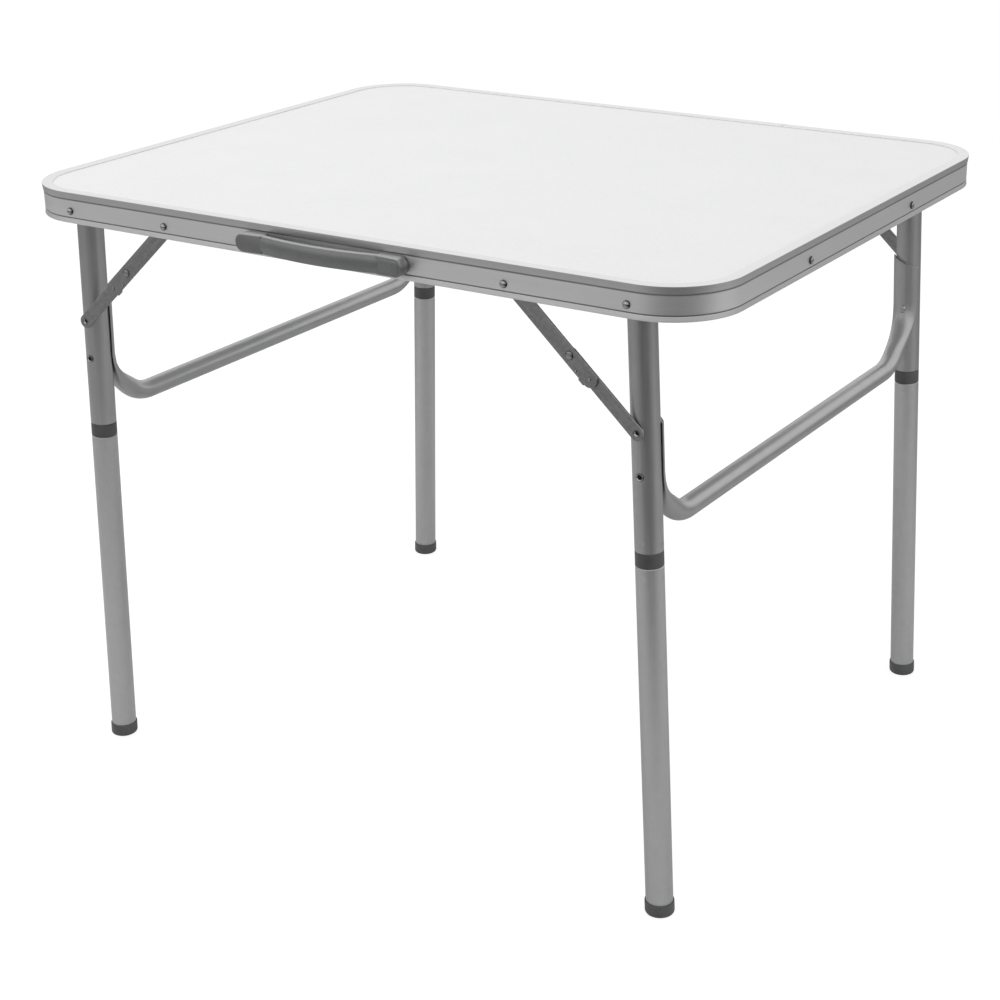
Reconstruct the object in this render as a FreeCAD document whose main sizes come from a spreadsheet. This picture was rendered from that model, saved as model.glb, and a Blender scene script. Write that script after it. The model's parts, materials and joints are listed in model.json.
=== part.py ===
import FreeCAD
import Part
import Sketcher
import math
import os
import re

# Folding camping table with two hinged leg frames and plug-in lower legs.
# Millimetres, Z up, X along the table. "Depth" is measured inward from the rail's outer face.
sizes = {
    "table_length": 750,
    "table_width": 600,
    "table_height": 590,
    "corner_radius": 65,
    "rail_height": 30,
    "lip_width": 10.5,
    "lip_thick": 1.2,
    "rail_bevel": 0.8,
    "bead_height": 7,
    "groove_depth": 1.5,
    "groove_height": 3,
    "band_recess": 1,
    "foot_bead": 5,
    "web_depth": 2.6,
    "toe_reach": 6,
    "toe_thick": 1.2,
    "ledge_reach": 7.5,
    "ledge_thick": 1.2,
    "board_thick": 3,
    "board_slack": 0.3,
    "seam_inset": 36,
    "seam_width": 0.5,
    "splice_length": 44,
    "splice_height": 13,
    "splice_thick": 2,
    "splice_pitch": 26,
    "pivot_inset": 72,
    "brace_pitch": 117,
    "top_clear": 0.8,
    "bracket_spread": 109,
    "bracket_width": 16,
    "bracket_reach": 26,
    "bracket_thick": 1.5,
    "rivet_radius": 2.5,
    "rivet_head": 4,
    "dome_radius": 3.6,
    "dome_tip": 2,
    "dome_height": 2.2,
    "rivet_tail_thick": 1.5,
    "fit_gap": 0.05,
    "run_gap": 0.3,
    "spacer_radius": 4.5,
    "leg_rise": 5,
    "splay": 2.1,
    "tube_radius": 12.5,
    "tube_wall": 1.2,
    "plug_depth": 18,
    "upper_length": 220,
    "ring_height": 13.5,
    "socket_grip": 50,
    "pin_radius": 8,
    "pin_length": 42,
    "joint_gap": 0.1,
    "plug_grip": 35,
    "foot_wall": 1,
    "foot_height": 13,
    "foot_round": 3,
    "sole_thick": 4,
    "strap_clear": 0.5,
    "strap_thick": 2,
    "strap_gap": 0.4,
    "upper_width": 15,
    "lower_width": 13,
    "strap_tail": 26,
    "tab_length": 7,
    "tab_reach": 2,
    "brace_drop": 112,
    "pin_flush": 0.2,
    "mid_head": 1,
    "washer_radius": 6,
    "washer_thick": 0.8,
    "cross_radius": 9.5,
    "cross_wall": 1.2,
    "cross_drop": 205,
    "cross_bend": 45,
    "crush_turn": 45,
    "crush_length": 31,
    "saddle_thick": 2.6,
    "saddle_half_angle": 68,
    "saddle_top": 102,
    "saddle_slope": 24,
    "cross_rivet_drop": 151,
    "flat_head": 0.7,
    "handle_length": 182,
    "handle_height": 17.5,
    "handle_drop": 8,
    "handle_reach": 16,
    "grip_thick": 5.5,
    "grip_rim": 2,
    "grip_tab": 20,
    "cap_length": 29,
    "cap_thick": 11,
    "cap_front": 1.5,
    "handle_screw_inset": 4.5,
    "handle_screw_bite": 7,
    "margin": 1,
}

# Sizes that follow from the ones above
derived = {
    "pivot_spread": "table_length / 2 - pivot_inset",
    "brace_spread": "pivot_spread - brace_pitch",
    "seam_place": "brace_spread - seam_inset",
    "pivot_drop": "lip_thick + board_thick + hypot(tube_radius; leg_rise) + top_clear",
    "pivot_height": "table_height - pivot_drop",
    "centre_y": "(handle_reach - dome_height + band_recess) / 2",
    "strap_depth": "ledge_reach + strap_clear",
    "lower_depth": "strap_depth + strap_thick + strap_gap",
    "leg_inset": "lower_depth + strap_thick + run_gap + washer_thick + tube_radius",
    "foot_radius": "tube_radius + foot_wall",
    "tube_bore": "tube_radius - tube_wall",
    "hole_radius": "rivet_radius + fit_gap",
    "handle_level": "table_height - handle_drop - handle_height",
    "handle_middle": "handle_level + handle_height / 2",
}

ends = {"front": -1, "back": 1}
sides = {"left": -1, "right": 1}
upright = ("0; 0; 1", "0")
along_x = ("0; 1; 0", "90")
along_y = ("1; 0; 0", "-90")
against_x = ("0; 1; 0", "-90")
against_y = ("1; 0; 0", "90")

doc = FreeCAD.newDocument("folding_table")
sheet = doc.addObject("Spreadsheet::Sheet", "Sizes")
for row, (alias, number) in enumerate(sizes.items(), start=1):
    sheet.set(f"A{row}", alias)
    sheet.set(f"B{row}", str(number))
    sheet.setAlias(f"B{row}", alias)
doc.recompute()

nodes = []


def formula(text):
    # named sizes become cells of the sheet, and derived ones their own formula
    def cell(found):
        word = found.group()
        if word in derived:
            return f"({formula(derived[word])})"
        return f"Sizes.{word}" if word in sizes else word
    return re.sub(r"[a-z]+(?:_[a-z]+)*", cell, text)


def bind(item, prop, text):
    item.setExpression(prop, formula(text))


def place(item, x, y, z, axis="0; 1; 0", angle="0"):
    base = f"create(<<vector>>; {x}; {y}; {z})"
    turn = f"create(<<rotation>>; create(<<vector>>; {axis}); {angle})"
    bind(item, "Placement", f"create(<<placement>>; {base}; {turn})")
    return item


def node(item, label):
    item.Label = label
    nodes.append(item)
    return item


def cylinder(radius, length, x="0", y="0", z="0", way=upright):
    item = doc.addObject("Part::Cylinder", "Round")
    bind(item, "Radius", radius)
    bind(item, "Height", length)
    return place(item, x, y, z, *way)


def cone(radius, tip, length, x, y, z, way):
    item = doc.addObject("Part::Cone", "Taper")
    bind(item, "Radius1", radius)
    bind(item, "Radius2", tip)
    bind(item, "Height", length)
    return place(item, x, y, z, *way)


def block(length, width, height, x="0", y="0", z="0", axis="0; 1; 0", angle="0"):
    item = doc.addObject("Part::Box", "Block")
    bind(item, "Length", length)
    bind(item, "Width", width)
    bind(item, "Height", height)
    return place(item, x, y, z, axis, angle)


def fuse(shapes):
    item = doc.addObject("Part::MultiFuse", "Joined")
    item.Shapes = shapes
    return item


def cut(base, tools):
    item = doc.addObject("Part::Cut", "Trimmed")
    item.Base = base
    item.Tool = tools[0] if len(tools) == 1 else fuse(tools)
    return item


def group(solids):
    item = doc.addObject("Part::Compound", "Group")
    item.Links = solids
    return item


def origin_plane(body, role):
    return [plane for plane in body.Origin.OriginFeatures if plane.Role == role][0]


def sketch_on(body, role, name):
    sketch = body.newObject("Sketcher::SketchObject", name)
    sketch.AttachmentSupport = [(origin_plane(body, role), "")]
    sketch.MapMode = "FlatFace"
    return sketch


def measure(sketch, kind, name, text, start, *geometry):
    index = sketch.addConstraint(Sketcher.Constraint(kind, *geometry, start))
    sketch.renameConstraint(index, name)
    bind(sketch, f"Constraints.{name}", text)


def rounded_rectangle(sketch, half_length, half_width, radius):
    a = sizes["table_length"] / 2
    b = sizes["table_width"] / 2
    r = sizes["corner_radius"]
    up = FreeCAD.Vector(0, 0, 1)
    turns = [(-a + r, b - r, 90), (-a + r, -b + r, 180), (a - r, -b + r, 270), (a - r, b - r, 0)]
    starts = [(a - r, b), (-a, b - r), (-a + r, -b), (a, -b + r)]
    stops = [(-a + r, b), (-a, -b + r), (a - r, -b), (a, b - r)]
    for start, stop, (x, y, first) in zip(starts, stops, turns):
        sketch.addGeometry(Part.LineSegment(FreeCAD.Vector(*start), FreeCAD.Vector(*stop)))
        circle = Part.Circle(FreeCAD.Vector(x, y, 0), up, r)
        sketch.addGeometry(Part.ArcOfCircle(circle, math.radians(first), math.radians(first + 90)))
    for index in range(8):
        sketch.addConstraint(Sketcher.Constraint("Tangent", index, 2, (index + 1) % 8, 1))
    for index, way in ((0, "Horizontal"), (2, "Vertical"), (4, "Horizontal"), (6, "Vertical")):
        sketch.addConstraint(Sketcher.Constraint(way, index))
    for index in (3, 5, 7):
        sketch.addConstraint(Sketcher.Constraint("Equal", 1, index))
    measure(sketch, "Radius", "corner", radius, r, 1)
    measure(sketch, "DistanceX", "right", half_length, a, -1, 1, 6, 1)
    measure(sketch, "DistanceX", "left", half_length, a, 2, 1, -1, 1)
    measure(sketch, "DistanceY", "back", half_width, b, -1, 1, 0, 1)
    measure(sketch, "DistanceY", "front", half_width, b, 4, 1, -1, 1)


def polygon(sketch, corners):
    count = len(corners)
    # the corners start on a loose ring and are drawn to their places by the dimensions
    turn = 2 * math.pi / count
    ring = sizes["rail_height"]
    away = FreeCAD.Vector(sizes["table_width"], 2 * ring, 0)
    loose = []
    for i in range(count):
        loose.append(away + FreeCAD.Vector(ring * math.cos(turn * i), ring * math.sin(turn * i), 0))
    for i in range(count):
        sketch.addGeometry(Part.LineSegment(loose[i], loose[(i + 1) % count]))
    for i in range(count):
        sketch.addConstraint(Sketcher.Constraint("Coincident", i, 2, (i + 1) % count, 1))
    for i, (x, y) in enumerate(corners):
        measure(sketch, "DistanceX", f"across{i}", x, loose[i].x, -1, 1, i, 1)
        measure(sketch, "DistanceY", f"along{i}", y, loose[i].y, -1, 1, i, 1)


def at_depth(end, depth):
    return f"{end} * (table_width / 2 - ({depth})) + centre_y"


def rod_in(end, radius, x, z, start, stop):
    # a round bar along Y, from one depth behind the long rail's face to another
    first = start if end < 0 else stop
    return cylinder(radius, f"({stop}) - ({start})", x, at_depth(end, first), z, along_y)


def dome_in(end, x, z):
    # a rivet's domed head on the band of the long rail
    way = against_y if end < 0 else along_y
    return cone("dome_radius", "dome_tip", "dome_height", x, at_depth(end, "band_recess"), z, way)


# Board and edge rail
board_body = doc.addObject("PartDesign::Body", "BoardBody")
board_outline = sketch_on(board_body, "XY_Plane", "BoardOutline")
edge_in = "web_depth - board_slack"
rounded_rectangle(board_outline, f"table_length / 2 - ({edge_in}) - 2 * board_slack",
                  f"table_width / 2 - ({edge_in}) - 2 * board_slack",
                  f"corner_radius - ({edge_in}) - 2 * board_slack")
board_pad = board_body.newObject("PartDesign::Pad", "BoardPad")
board_pad.Profile = board_outline
bind(board_pad, "Length", "board_thick")
place(board_body, "0", "centre_y", "table_height - lip_thick - board_thick")
node(board_body, "table_board")

rail_body = doc.addObject("PartDesign::Body", "RailBody")
rail_path = sketch_on(rail_body, "XY_Plane", "RailPath")
rounded_rectangle(rail_path, "table_length / 2", "table_width / 2", "corner_radius")
rail_section = sketch_on(rail_body, "YZ_Plane", "RailSection")
bind(rail_section, "AttachmentOffset.Base.z", "table_length / 2 - corner_radius")
slot_top = "rail_height - lip_thick"
slot_floor = f"{slot_top} - board_thick"
bead_floor = "rail_height - bead_height"
section = [
    ("lip_width", "rail_height"),
    ("rail_bevel", "rail_height"),
    ("0", "rail_height - rail_bevel"),
    ("0", f"{bead_floor} + rail_bevel"),
    ("rail_bevel", bead_floor),
    ("groove_depth", bead_floor),
    ("groove_depth", f"{bead_floor} - groove_height"),
    ("band_recess", f"{bead_floor} - groove_height"),
    ("band_recess", "foot_bead"),
    ("0", "foot_bead - rail_bevel"),
    ("0", "rail_bevel"),
    ("rail_bevel", "0"),
    ("toe_reach", "0"),
    ("toe_reach", "toe_thick"),
    ("web_depth", "toe_thick"),
    ("web_depth", f"{slot_floor} - ledge_thick"),
    ("ledge_reach", f"{slot_floor} - ledge_thick"),
    ("ledge_reach", slot_floor),
    ("web_depth", slot_floor),
    ("web_depth", slot_top),
    ("lip_width", slot_top),
]
polygon(rail_section, [(f"table_width / 2 - {depth}", level) for depth, level in section])
rail_pipe = rail_body.newObject("PartDesign::AdditivePipe", "RailPipe")
rail_pipe.Profile = rail_section
rail_pipe.Spine = rail_path
place(rail_body, "0", "centre_y", "table_height - rail_height")

rail_holes = []
for end in ends.values():
    for side in sides.values():
        for spread in ("pivot_spread", "brace_spread"):
            rail_holes.append(rod_in(end, "hole_radius", f"{side} * {spread}", "pivot_height",
                                     "0", "web_depth + margin"))
for side in sides.values():
    for end in ends.values():
        start = "-table_length / 2" if side < 0 else "table_length / 2 - web_depth - margin"
        hole = cylinder("hole_radius", "web_depth + margin", start, f"{end} * bracket_spread + centre_y",
                        "pivot_height", along_x)
        rail_holes.append(hole)
for hand in (-1, 1):
    place_x = f"seam_place + {hand} * splice_pitch / 2"
    rail_holes.append(rod_in(1, "hole_radius", place_x, "pivot_height", "0", "web_depth + margin"))
for hand in (-1, 1):
    place_x = f"{hand} * (handle_length / 2 - handle_screw_inset)"
    rail_holes.append(rod_in(-1, "hole_radius", place_x, "handle_middle",
                             "0", "web_depth + margin"))
seam = block("seam_width", "lip_width + 2 * margin", "rail_height + 2 * margin",
             "seam_place - seam_width / 2", at_depth(1, "lip_width + margin"),
             "table_height - rail_height - margin")
node(cut(rail_body, rail_holes + [seam]), "edge_rail")

splice = block("splice_length", "splice_thick", "splice_height", "seam_place - splice_length / 2",
               at_depth(1, "web_depth + splice_thick"), "pivot_height - splice_height / 2")
splice_holes = []
splice_rivets = []
for hand in (-1, 1):
    place_x = f"seam_place + {hand} * splice_pitch / 2"
    splice_holes.append(rod_in(1, "hole_radius", place_x, "pivot_height", "web_depth - margin",
                               "web_depth + splice_thick + margin"))
    inner_face = "web_depth + splice_thick"
    splice_rivets.append(fuse([
        rod_in(1, "rivet_radius", place_x, "pivot_height", "0", f"{inner_face} + rivet_tail_thick"),
        dome_in(1, place_x, "pivot_height"),
        rod_in(1, "rivet_head", place_x, "pivot_height", inner_face, f"{inner_face} + rivet_tail_thick"),
    ]))
node(cut(splice, splice_holes), "rail_splice")
node(group(splice_rivets), "rail_splice_rivets")

# Angle brackets under the board at the short rails
brackets = []
bracket_screws = []
ledge_level = "table_height - lip_thick - board_thick - ledge_thick"
for side in sides.values():
    for end in ends.values():
        middle = f"{end} * bracket_spread + centre_y"
        web_x = f"{side} * (table_length / 2 - web_depth)"
        plate_x = web_x if side < 0 else f"{web_x} - bracket_thick"
        flange_x = web_x if side < 0 else f"{web_x} - bracket_reach"
        drop = "pivot_drop - lip_thick - board_thick - ledge_thick + spacer_radius + margin"
        plate = block("bracket_thick", "bracket_width", drop, plate_x, f"{middle} - bracket_width / 2",
                      f"{ledge_level} - ({drop})")
        flange = block("bracket_reach", "bracket_width", "bracket_thick", flange_x,
                       f"{middle} - bracket_width / 2", f"{ledge_level} - bracket_thick")
        grip = "(web_depth + bracket_thick)"
        hole_x = "-table_length / 2" if side < 0 else f"table_length / 2 - {grip} - margin"
        hole = cylinder("hole_radius", f"{grip} + margin", hole_x, middle, "pivot_height", along_x)
        brackets.append(cut(fuse([plate, flange]), [hole]))
        shank_x = "-table_length / 2" if side < 0 else f"table_length / 2 - {grip} - rivet_tail_thick"
        head_x = f"{side} * (table_length / 2 - band_recess)"
        head_way = against_x if side < 0 else along_x
        nut_x = f"-table_length / 2 + {grip}" if side < 0 else shank_x
        bracket_screws.append(fuse([
            cylinder("rivet_radius", f"{grip} + rivet_tail_thick", shank_x, middle, "pivot_height", along_x),
            cone("dome_radius", "dome_tip", "dome_height", head_x, middle, "pivot_height", head_way),
            cylinder("rivet_head", "rivet_tail_thick", nut_x, middle, "pivot_height", along_x),
        ]))
node(group(brackets), "board_brackets")
node(group(bracket_screws), "board_screws")

# Carrying handle on the front rail
cap_inner = "(handle_length / 2 - cap_length)"
strap_line = "(cap_thick - cap_front - grip_thick / 2)"
grip_bow = f"(handle_reach - grip_thick / 2 - {strap_line})"
grip_curve = f"(({cap_inner} ^ 2 + {grip_bow} ^ 2) / (2 * {grip_bow}))"
tab_height = "(handle_height - 2 * grip_rim)"


def bow_disc(radius):
    # a disc whose rim follows the bowed strap in plan
    level = f"-(table_width / 2) - handle_reach + grip_thick / 2 + {grip_curve} + centre_y"
    return cylinder(radius, "handle_height", "0", level, "handle_level")


strap_ring = cut(bow_disc(f"{grip_curve} + grip_thick / 2"), [bow_disc(f"{grip_curve} - grip_thick / 2")])
strap_window = block(f"2 * {cap_inner}", "3 * cap_thick", "handle_height", f"-{cap_inner}",
                     at_depth(-1, "-3 * cap_thick"), "handle_level")
strap_arc = doc.addObject("Part::MultiCommon", "StrapArc")
strap_arc.Shapes = [strap_ring, strap_window]
strap_tabs = []
for hand in (-1, 1):
    start = f"-{cap_inner} - grip_tab" if hand < 0 else f"{cap_inner} - margin"
    strap_tabs.append(block("grip_tab + margin", "grip_thick", tab_height, start,
                            at_depth(-1, f"-{strap_line} - grip_thick / 2"), "handle_level + grip_rim"))
node(fuse([strap_arc] + strap_tabs), "handle_grip")

handle_screws = []
screw_end = "web_depth + rivet_tail_thick"
for name, hand in sides.items():
    round_x = f"{hand} * (handle_length / 2 - handle_height / 2)"
    straight = "cap_length - handle_height / 2 - run_gap"
    start = round_x if hand < 0 else f"{cap_inner} + run_gap"
    shell = fuse([
        block(straight, "cap_thick", "handle_height", start, at_depth(-1, "-cap_thick"), "handle_level"),
        rod_in(-1, "handle_height / 2", round_x, "handle_middle", "-cap_thick", "0"),
    ])
    room_x = f"-{cap_inner} - grip_tab - run_gap" if hand < 0 else f"{cap_inner} - margin"
    room = block("grip_tab + run_gap + margin", "grip_thick + 2 * run_gap",
                 f"{tab_height} + 2 * run_gap", room_x,
                 at_depth(-1, f"-{strap_line} - grip_thick / 2 - run_gap"),
                 "handle_level + grip_rim - run_gap")
    screw_x = f"{hand} * (handle_length / 2 - handle_screw_inset)"
    hole = rod_in(-1, "hole_radius", screw_x, "handle_middle", "-handle_screw_bite - run_gap", "margin")
    node(cut(shell, [room, hole]), f"handle_end_{name}")
    handle_screws.append(fuse([
        rod_in(-1, "rivet_radius", screw_x, "handle_middle", "-handle_screw_bite", screw_end),
        rod_in(-1, "rivet_head", screw_x, "handle_middle", "web_depth", screw_end),
    ]))
node(group(handle_screws), "handle_screws")

# Pivot hardware carried by the long rails
leg_rivets = []
leg_spacers = []
brace_rivets = []
brace_spacers = []
tail_depth = "leg_inset + tube_radius + run_gap"
for end in ends.values():
    for side in sides.values():
        leg_x = f"{side} * pivot_spread"
        brace_x = f"{side} * brace_spread"
        leg_rivets.append(fuse([
            rod_in(end, "rivet_radius", leg_x, "pivot_height", "0", f"{tail_depth} + rivet_tail_thick"),
            dome_in(end, leg_x, "pivot_height"),
            rod_in(end, "rivet_head", leg_x, "pivot_height", tail_depth, f"{tail_depth} + rivet_tail_thick"),
        ]))
        brace_end = "strap_depth + strap_thick + pin_flush"
        brace_rivets.append(fuse([
            rod_in(end, "rivet_radius", brace_x, "pivot_height", "0", brace_end),
            dome_in(end, brace_x, "pivot_height"),
        ]))
        leg_stop = "leg_inset - tube_radius - run_gap"
        brace_stop = "strap_depth - run_gap"
        for spacers, x, stop in ((leg_spacers, leg_x, leg_stop), (brace_spacers, brace_x, brace_stop)):
            tube = rod_in(end, "spacer_radius", x, "pivot_height", "web_depth", stop)
            bore = rod_in(end, "hole_radius", x, "pivot_height", "web_depth - margin", f"{stop} + margin")
            spacers.append(cut(tube, [bore]))
node(group(leg_rivets), "leg_pivot_rivets")
node(group(leg_spacers), "leg_pivot_spacers")
node(group(brace_rivets), "brace_pivot_rivets")
node(group(brace_spacers), "brace_pivot_spacers")

# Leg frames, built with the pivot as origin and the leg along Z, then tilted by the splay
ring_floor = "(upper_length + ring_height)"
lower_top = f"({ring_floor} + joint_gap)"
leg_reach = "(pivot_height / cos(splay))"
tube_end = f"({leg_reach} - sole_thick)"


def on_leg(item, side, end):
    return place(item, f"{side} * pivot_spread", at_depth(end, "leg_inset"), "pivot_height",
                 "0; 1; 0", f"{-side} * splay")


def across_leg(end, radius, drop, start, stop):
    # a round bar through the leg, between two distances outward from the leg's axis
    first = start if end > 0 else stop
    return cylinder(radius, f"({stop}) - ({start})", "0", f"{end} * ({first})", f"-({drop})", along_y)


def upper_leg(side, end):
    wall = cylinder("tube_radius", "upper_length + leg_rise", z="-upper_length")
    room = cylinder("tube_bore", "upper_length + leg_rise + 2 * margin", z="-upper_length - margin")
    far = "(tube_radius + margin)"
    pivot_hole = across_leg(end, "hole_radius", "0", f"-{far}", far)
    brace_hole = across_leg(end, "hole_radius", "brace_drop", "0", far)
    cross_hole = across_leg(end, "hole_radius", "cross_rivet_drop", f"-{far}", far)
    return on_leg(cut(wall, [room, pivot_hole, brace_hole, cross_hole]), side, end)


def leg_plug(side, end):
    plug = cylinder("tube_bore - fit_gap", "plug_depth + leg_rise", z="-plug_depth")
    hole = across_leg(end, "hole_radius", "0", "-tube_radius", "tube_radius")
    return on_leg(cut(plug, [hole]), side, end)


def leg_socket(side, end):
    ring = cylinder("tube_radius", "ring_height", z=f"-{ring_floor}")
    sleeve = cylinder("tube_bore - fit_gap", "socket_grip + margin", z="-upper_length - margin")
    bore = cylinder("pin_radius + fit_gap", "ring_height + socket_grip + 2 * margin",
                    z=f"-{ring_floor} - margin")
    return on_leg(cut(fuse([ring, sleeve]), [bore]), side, end)


def lower_leg(side, end):
    wall = cylinder("tube_radius", f"{tube_end} - {lower_top}", z=f"-{tube_end}")
    room = cylinder("tube_bore", f"{tube_end} - {lower_top} + 2 * margin", z=f"-{tube_end} - margin")
    return on_leg(cut(wall, [room]), side, end)


def leg_spigot(side, end):
    plug = cylinder("tube_bore - fit_gap", "plug_grip", z=f"-{lower_top} - plug_grip")
    pin = cylinder("pin_radius", "pin_length + margin", z=f"-{lower_top} - margin")
    return on_leg(fuse([plug, pin]), side, end)


def foot(side, end):
    body = doc.addObject("PartDesign::Body", "FootBody")
    puck = body.newObject("PartDesign::AdditiveCylinder", "FootPuck")
    bind(puck, "Radius", "foot_radius")
    bind(puck, "Height", "foot_height")
    doc.recompute()
    rims = [edge for edge in puck.Shape.Edges if len(edge.Vertexes) == 1]
    lowest = min(rims, key=lambda edge: edge.BoundBox.ZMax)
    number = [edge.isSame(lowest) for edge in puck.Shape.Edges].index(True) + 1
    rounding = body.newObject("PartDesign::Fillet", "FootRounding")
    rounding.Base = (puck, [f"Edge{number}"])
    bind(rounding, "Radius", "foot_round")
    floor_x = f"{side} * (pivot_spread + pivot_height * tan(splay))"
    place(body, floor_x, at_depth(end, "leg_inset"), "0")
    seat = cylinder("tube_radius + fit_gap", "foot_height * 2")
    place(seat, f"{floor_x} - {side} * sole_thick * sin(splay)", at_depth(end, "leg_inset"),
          "sole_thick * cos(splay)", "0; 1; 0", f"{-side} * splay")
    return cut(body, [seat])


def cross_tube(side):
    # a bent tube whose upright ends are crushed to saddles around the legs
    item = doc.addObject("Part::Feature", "CrossTube")
    item.addProperty("App::PropertyFloat", "LegY")
    bind(item, "LegY", "table_width / 2 - leg_inset")
    doc.recompute()
    size = {alias: sheet.get(alias) for alias in sizes}
    leg_y = item.LegY
    inner = size["tube_radius"] + 2 * size["fit_gap"]
    outer = inner + size["saddle_thick"]
    radius = size["cross_radius"]
    bend = size["cross_bend"]
    rise_y = leg_y - inner - radius
    low = -size["cross_drop"]
    tilt = math.radians(size["crush_turn"])
    level = math.pi / 2

    def point(y, z):
        return FreeCAD.Vector(0, y, z)

    def on_bend(end, turn):
        # turn runs from upright, 0, to level
        return point(end * (rise_y - bend * (1 - math.cos(turn))), low + bend * (1 - math.sin(turn)))

    def spoke(angle, end):
        lean = radius * math.sin(angle)
        return FreeCAD.Vector(radius * math.cos(angle), end * lean * math.cos(tilt), -lean * math.sin(tilt))

    def bent_corner(end):
        return Part.Arc(*[on_bend(end, turn) for turn in (tilt, (tilt + level) / 2, level)]).toShape()

    straight = Part.makeLine(point(-rise_y + bend, low), point(rise_y - bend, low))
    route = Part.Wire([bent_corner(-1), straight, bent_corner(1)])

    def pipe(section_radius):
        facing = point(-math.sin(tilt), math.cos(tilt))
        circle = Part.Wire(Part.makeCircle(section_radius, on_bend(-1, tilt), facing))
        return route.makePipeShell([circle], True, False)

    shape = pipe(radius).cut(pipe(radius - size["cross_wall"]))
    spread = math.radians(size["saddle_half_angle"])

    def around(reach, angle, z, end):
        # angle is measured from the direction that points at the other leg
        return FreeCAD.Vector(reach * math.sin(angle), end * (leg_y - reach * math.cos(angle)), z)

    def ring_of(start_points):
        edges = []
        for first, middle, last in start_points:
            edges.append(Part.Arc(first, middle, last).toShape() if middle else Part.makeLine(first, last))
        return Part.Wire(edges)

    for end in ends.values():
        quarter = math.pi / 4
        turns = [quarter, 3 * quarter, 5 * quarter, 7 * quarter]
        round_middle = on_bend(end, tilt)
        flat_start = round_middle.z + size["crush_length"]
        rim = []
        for first in turns:
            stations = (first, first + quarter, first + 2 * quarter)
            rim.append([round_middle + spoke(a, end) for a in stations])
        round_end = ring_of(rim)

        def saddle(z):
            near = [around(inner, a, z, end) for a in (spread, 0, -spread)]
            far = [around(outer, a, z, end) for a in (-spread, 0, spread)]
            return ring_of([near, (near[2], None, far[0]), far, (far[2], None, near[0])])

        crushed = Part.makeLoft([round_end, saddle(flat_start)], True)
        plate = Part.Face(saddle(flat_start)).extrude(FreeCAD.Vector(0, 0, -size["saddle_top"] - flat_start))
        trim_corner = FreeCAD.Vector(-2 * outer, end * leg_y - 2 * outer, 0)
        trim = Part.makeBox(4 * outer, 4 * outer, 4 * outer, trim_corner)
        trim.rotate(FreeCAD.Vector(0, 0, 0), FreeCAD.Vector(0, 1, 0), side * size["saddle_slope"])
        trim.translate(FreeCAD.Vector(0, 0, -size["saddle_top"]))
        hole_start = point(end * leg_y - 2 * outer, -size["cross_rivet_drop"])
        hole_size = size["rivet_radius"] + size["fit_gap"]
        rivet_hole = Part.makeCylinder(hole_size, 4 * outer, hole_start, FreeCAD.Vector(0, 1, 0))
        shape = shape.fuse(crushed).fuse(plate.cut(trim)).cut(rivet_hole)
    item.Shape = shape.removeSplitter()
    return place(item, f"{side} * pivot_spread", "centre_y", "pivot_height", "0; 1; 0", f"{-side} * splay")


def cross_rivet(side, end):
    inner_face = "-(tube_radius + 2 * fit_gap + saddle_thick)"
    tail = f"{inner_face} - rivet_tail_thick"
    return on_leg(fuse([
        across_leg(end, "rivet_radius", "cross_rivet_drop", tail, "tube_radius + flat_head"),
        across_leg(end, "rivet_head", "cross_rivet_drop", "tube_radius", "tube_radius + flat_head"),
        across_leg(end, "rivet_head", "cross_rivet_drop", tail, inner_face),
    ]), side, end)


def brace_leg_rivet(side, end):
    tip = "leg_inset - lower_depth + pin_flush"
    seat = "(sqrt(tube_bore ^ 2 - rivet_head ^ 2) - 2 * fit_gap)"
    tail = f"{seat} - rivet_tail_thick"
    return on_leg(fuse([
        across_leg(end, "rivet_radius", "brace_drop", tail, tip),
        across_leg(end, "rivet_head", "brace_drop", tail, seat),
    ]), side, end)


def brace_washer(side, end):
    ring = across_leg(end, "washer_radius", "brace_drop", "tube_radius", "tube_radius + washer_thick")
    bore = across_leg(end, "hole_radius", "brace_drop", "0", "leg_inset")
    return on_leg(cut(ring, [bore]), side, end)


for name, side in sides.items():
    for end_name, end in ends.items():
        node(upper_leg(side, end), f"{name}_{end_name}_upper_leg")
        node(leg_plug(side, end), f"{name}_{end_name}_leg_plug")
        node(leg_socket(side, end), f"{name}_{end_name}_leg_socket")
        node(lower_leg(side, end), f"{name}_{end_name}_lower_leg")
        node(leg_spigot(side, end), f"{name}_{end_name}_leg_spigot")
        node(foot(side, end), f"{name}_{end_name}_foot")
    node(cross_tube(side), f"{name}_cross_tube")
    node(group([cross_rivet(side, end) for end in ends.values()]), f"{name}_cross_rivets")
    node(group([brace_leg_rivet(side, end) for end in ends.values()]), f"{name}_brace_leg_rivets")
    node(group([brace_washer(side, end) for end in ends.values()]), f"{name}_brace_washers")

# Folding braces: an upper strap on the rail and a lower strap on the leg
brace_run = "(pivot_spread + brace_drop * sin(splay) - brace_spread)"
brace_fall = "(brace_drop * cos(splay))"
brace_length = f"hypot({brace_run}; {brace_fall})"
fold_offset = "(pivot_spread - brace_drop - brace_spread)"
upper_reach = f"(({brace_length} - {fold_offset}) / 2)"
lower_reach = f"(({brace_length} + {fold_offset}) / 2)"
brace_angle = f"atan({brace_fall} / {brace_run})"


def strap(end, reach, width, tail):
    start_y = "0" if end < 0 else "-strap_thick"
    total = f"({reach} + {tail})"
    bar = block(total, "strap_thick", width, "0", start_y, f"-{width} / 2")
    tips = [cylinder(f"{width} / 2", "strap_thick", x, start_y, "0", along_y) for x in ("0", total)]
    return fuse([bar] + tips)


def strap_hole(x):
    return cylinder("hole_radius", "4 * strap_thick", x, "-2 * strap_thick", "0", along_y)


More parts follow.
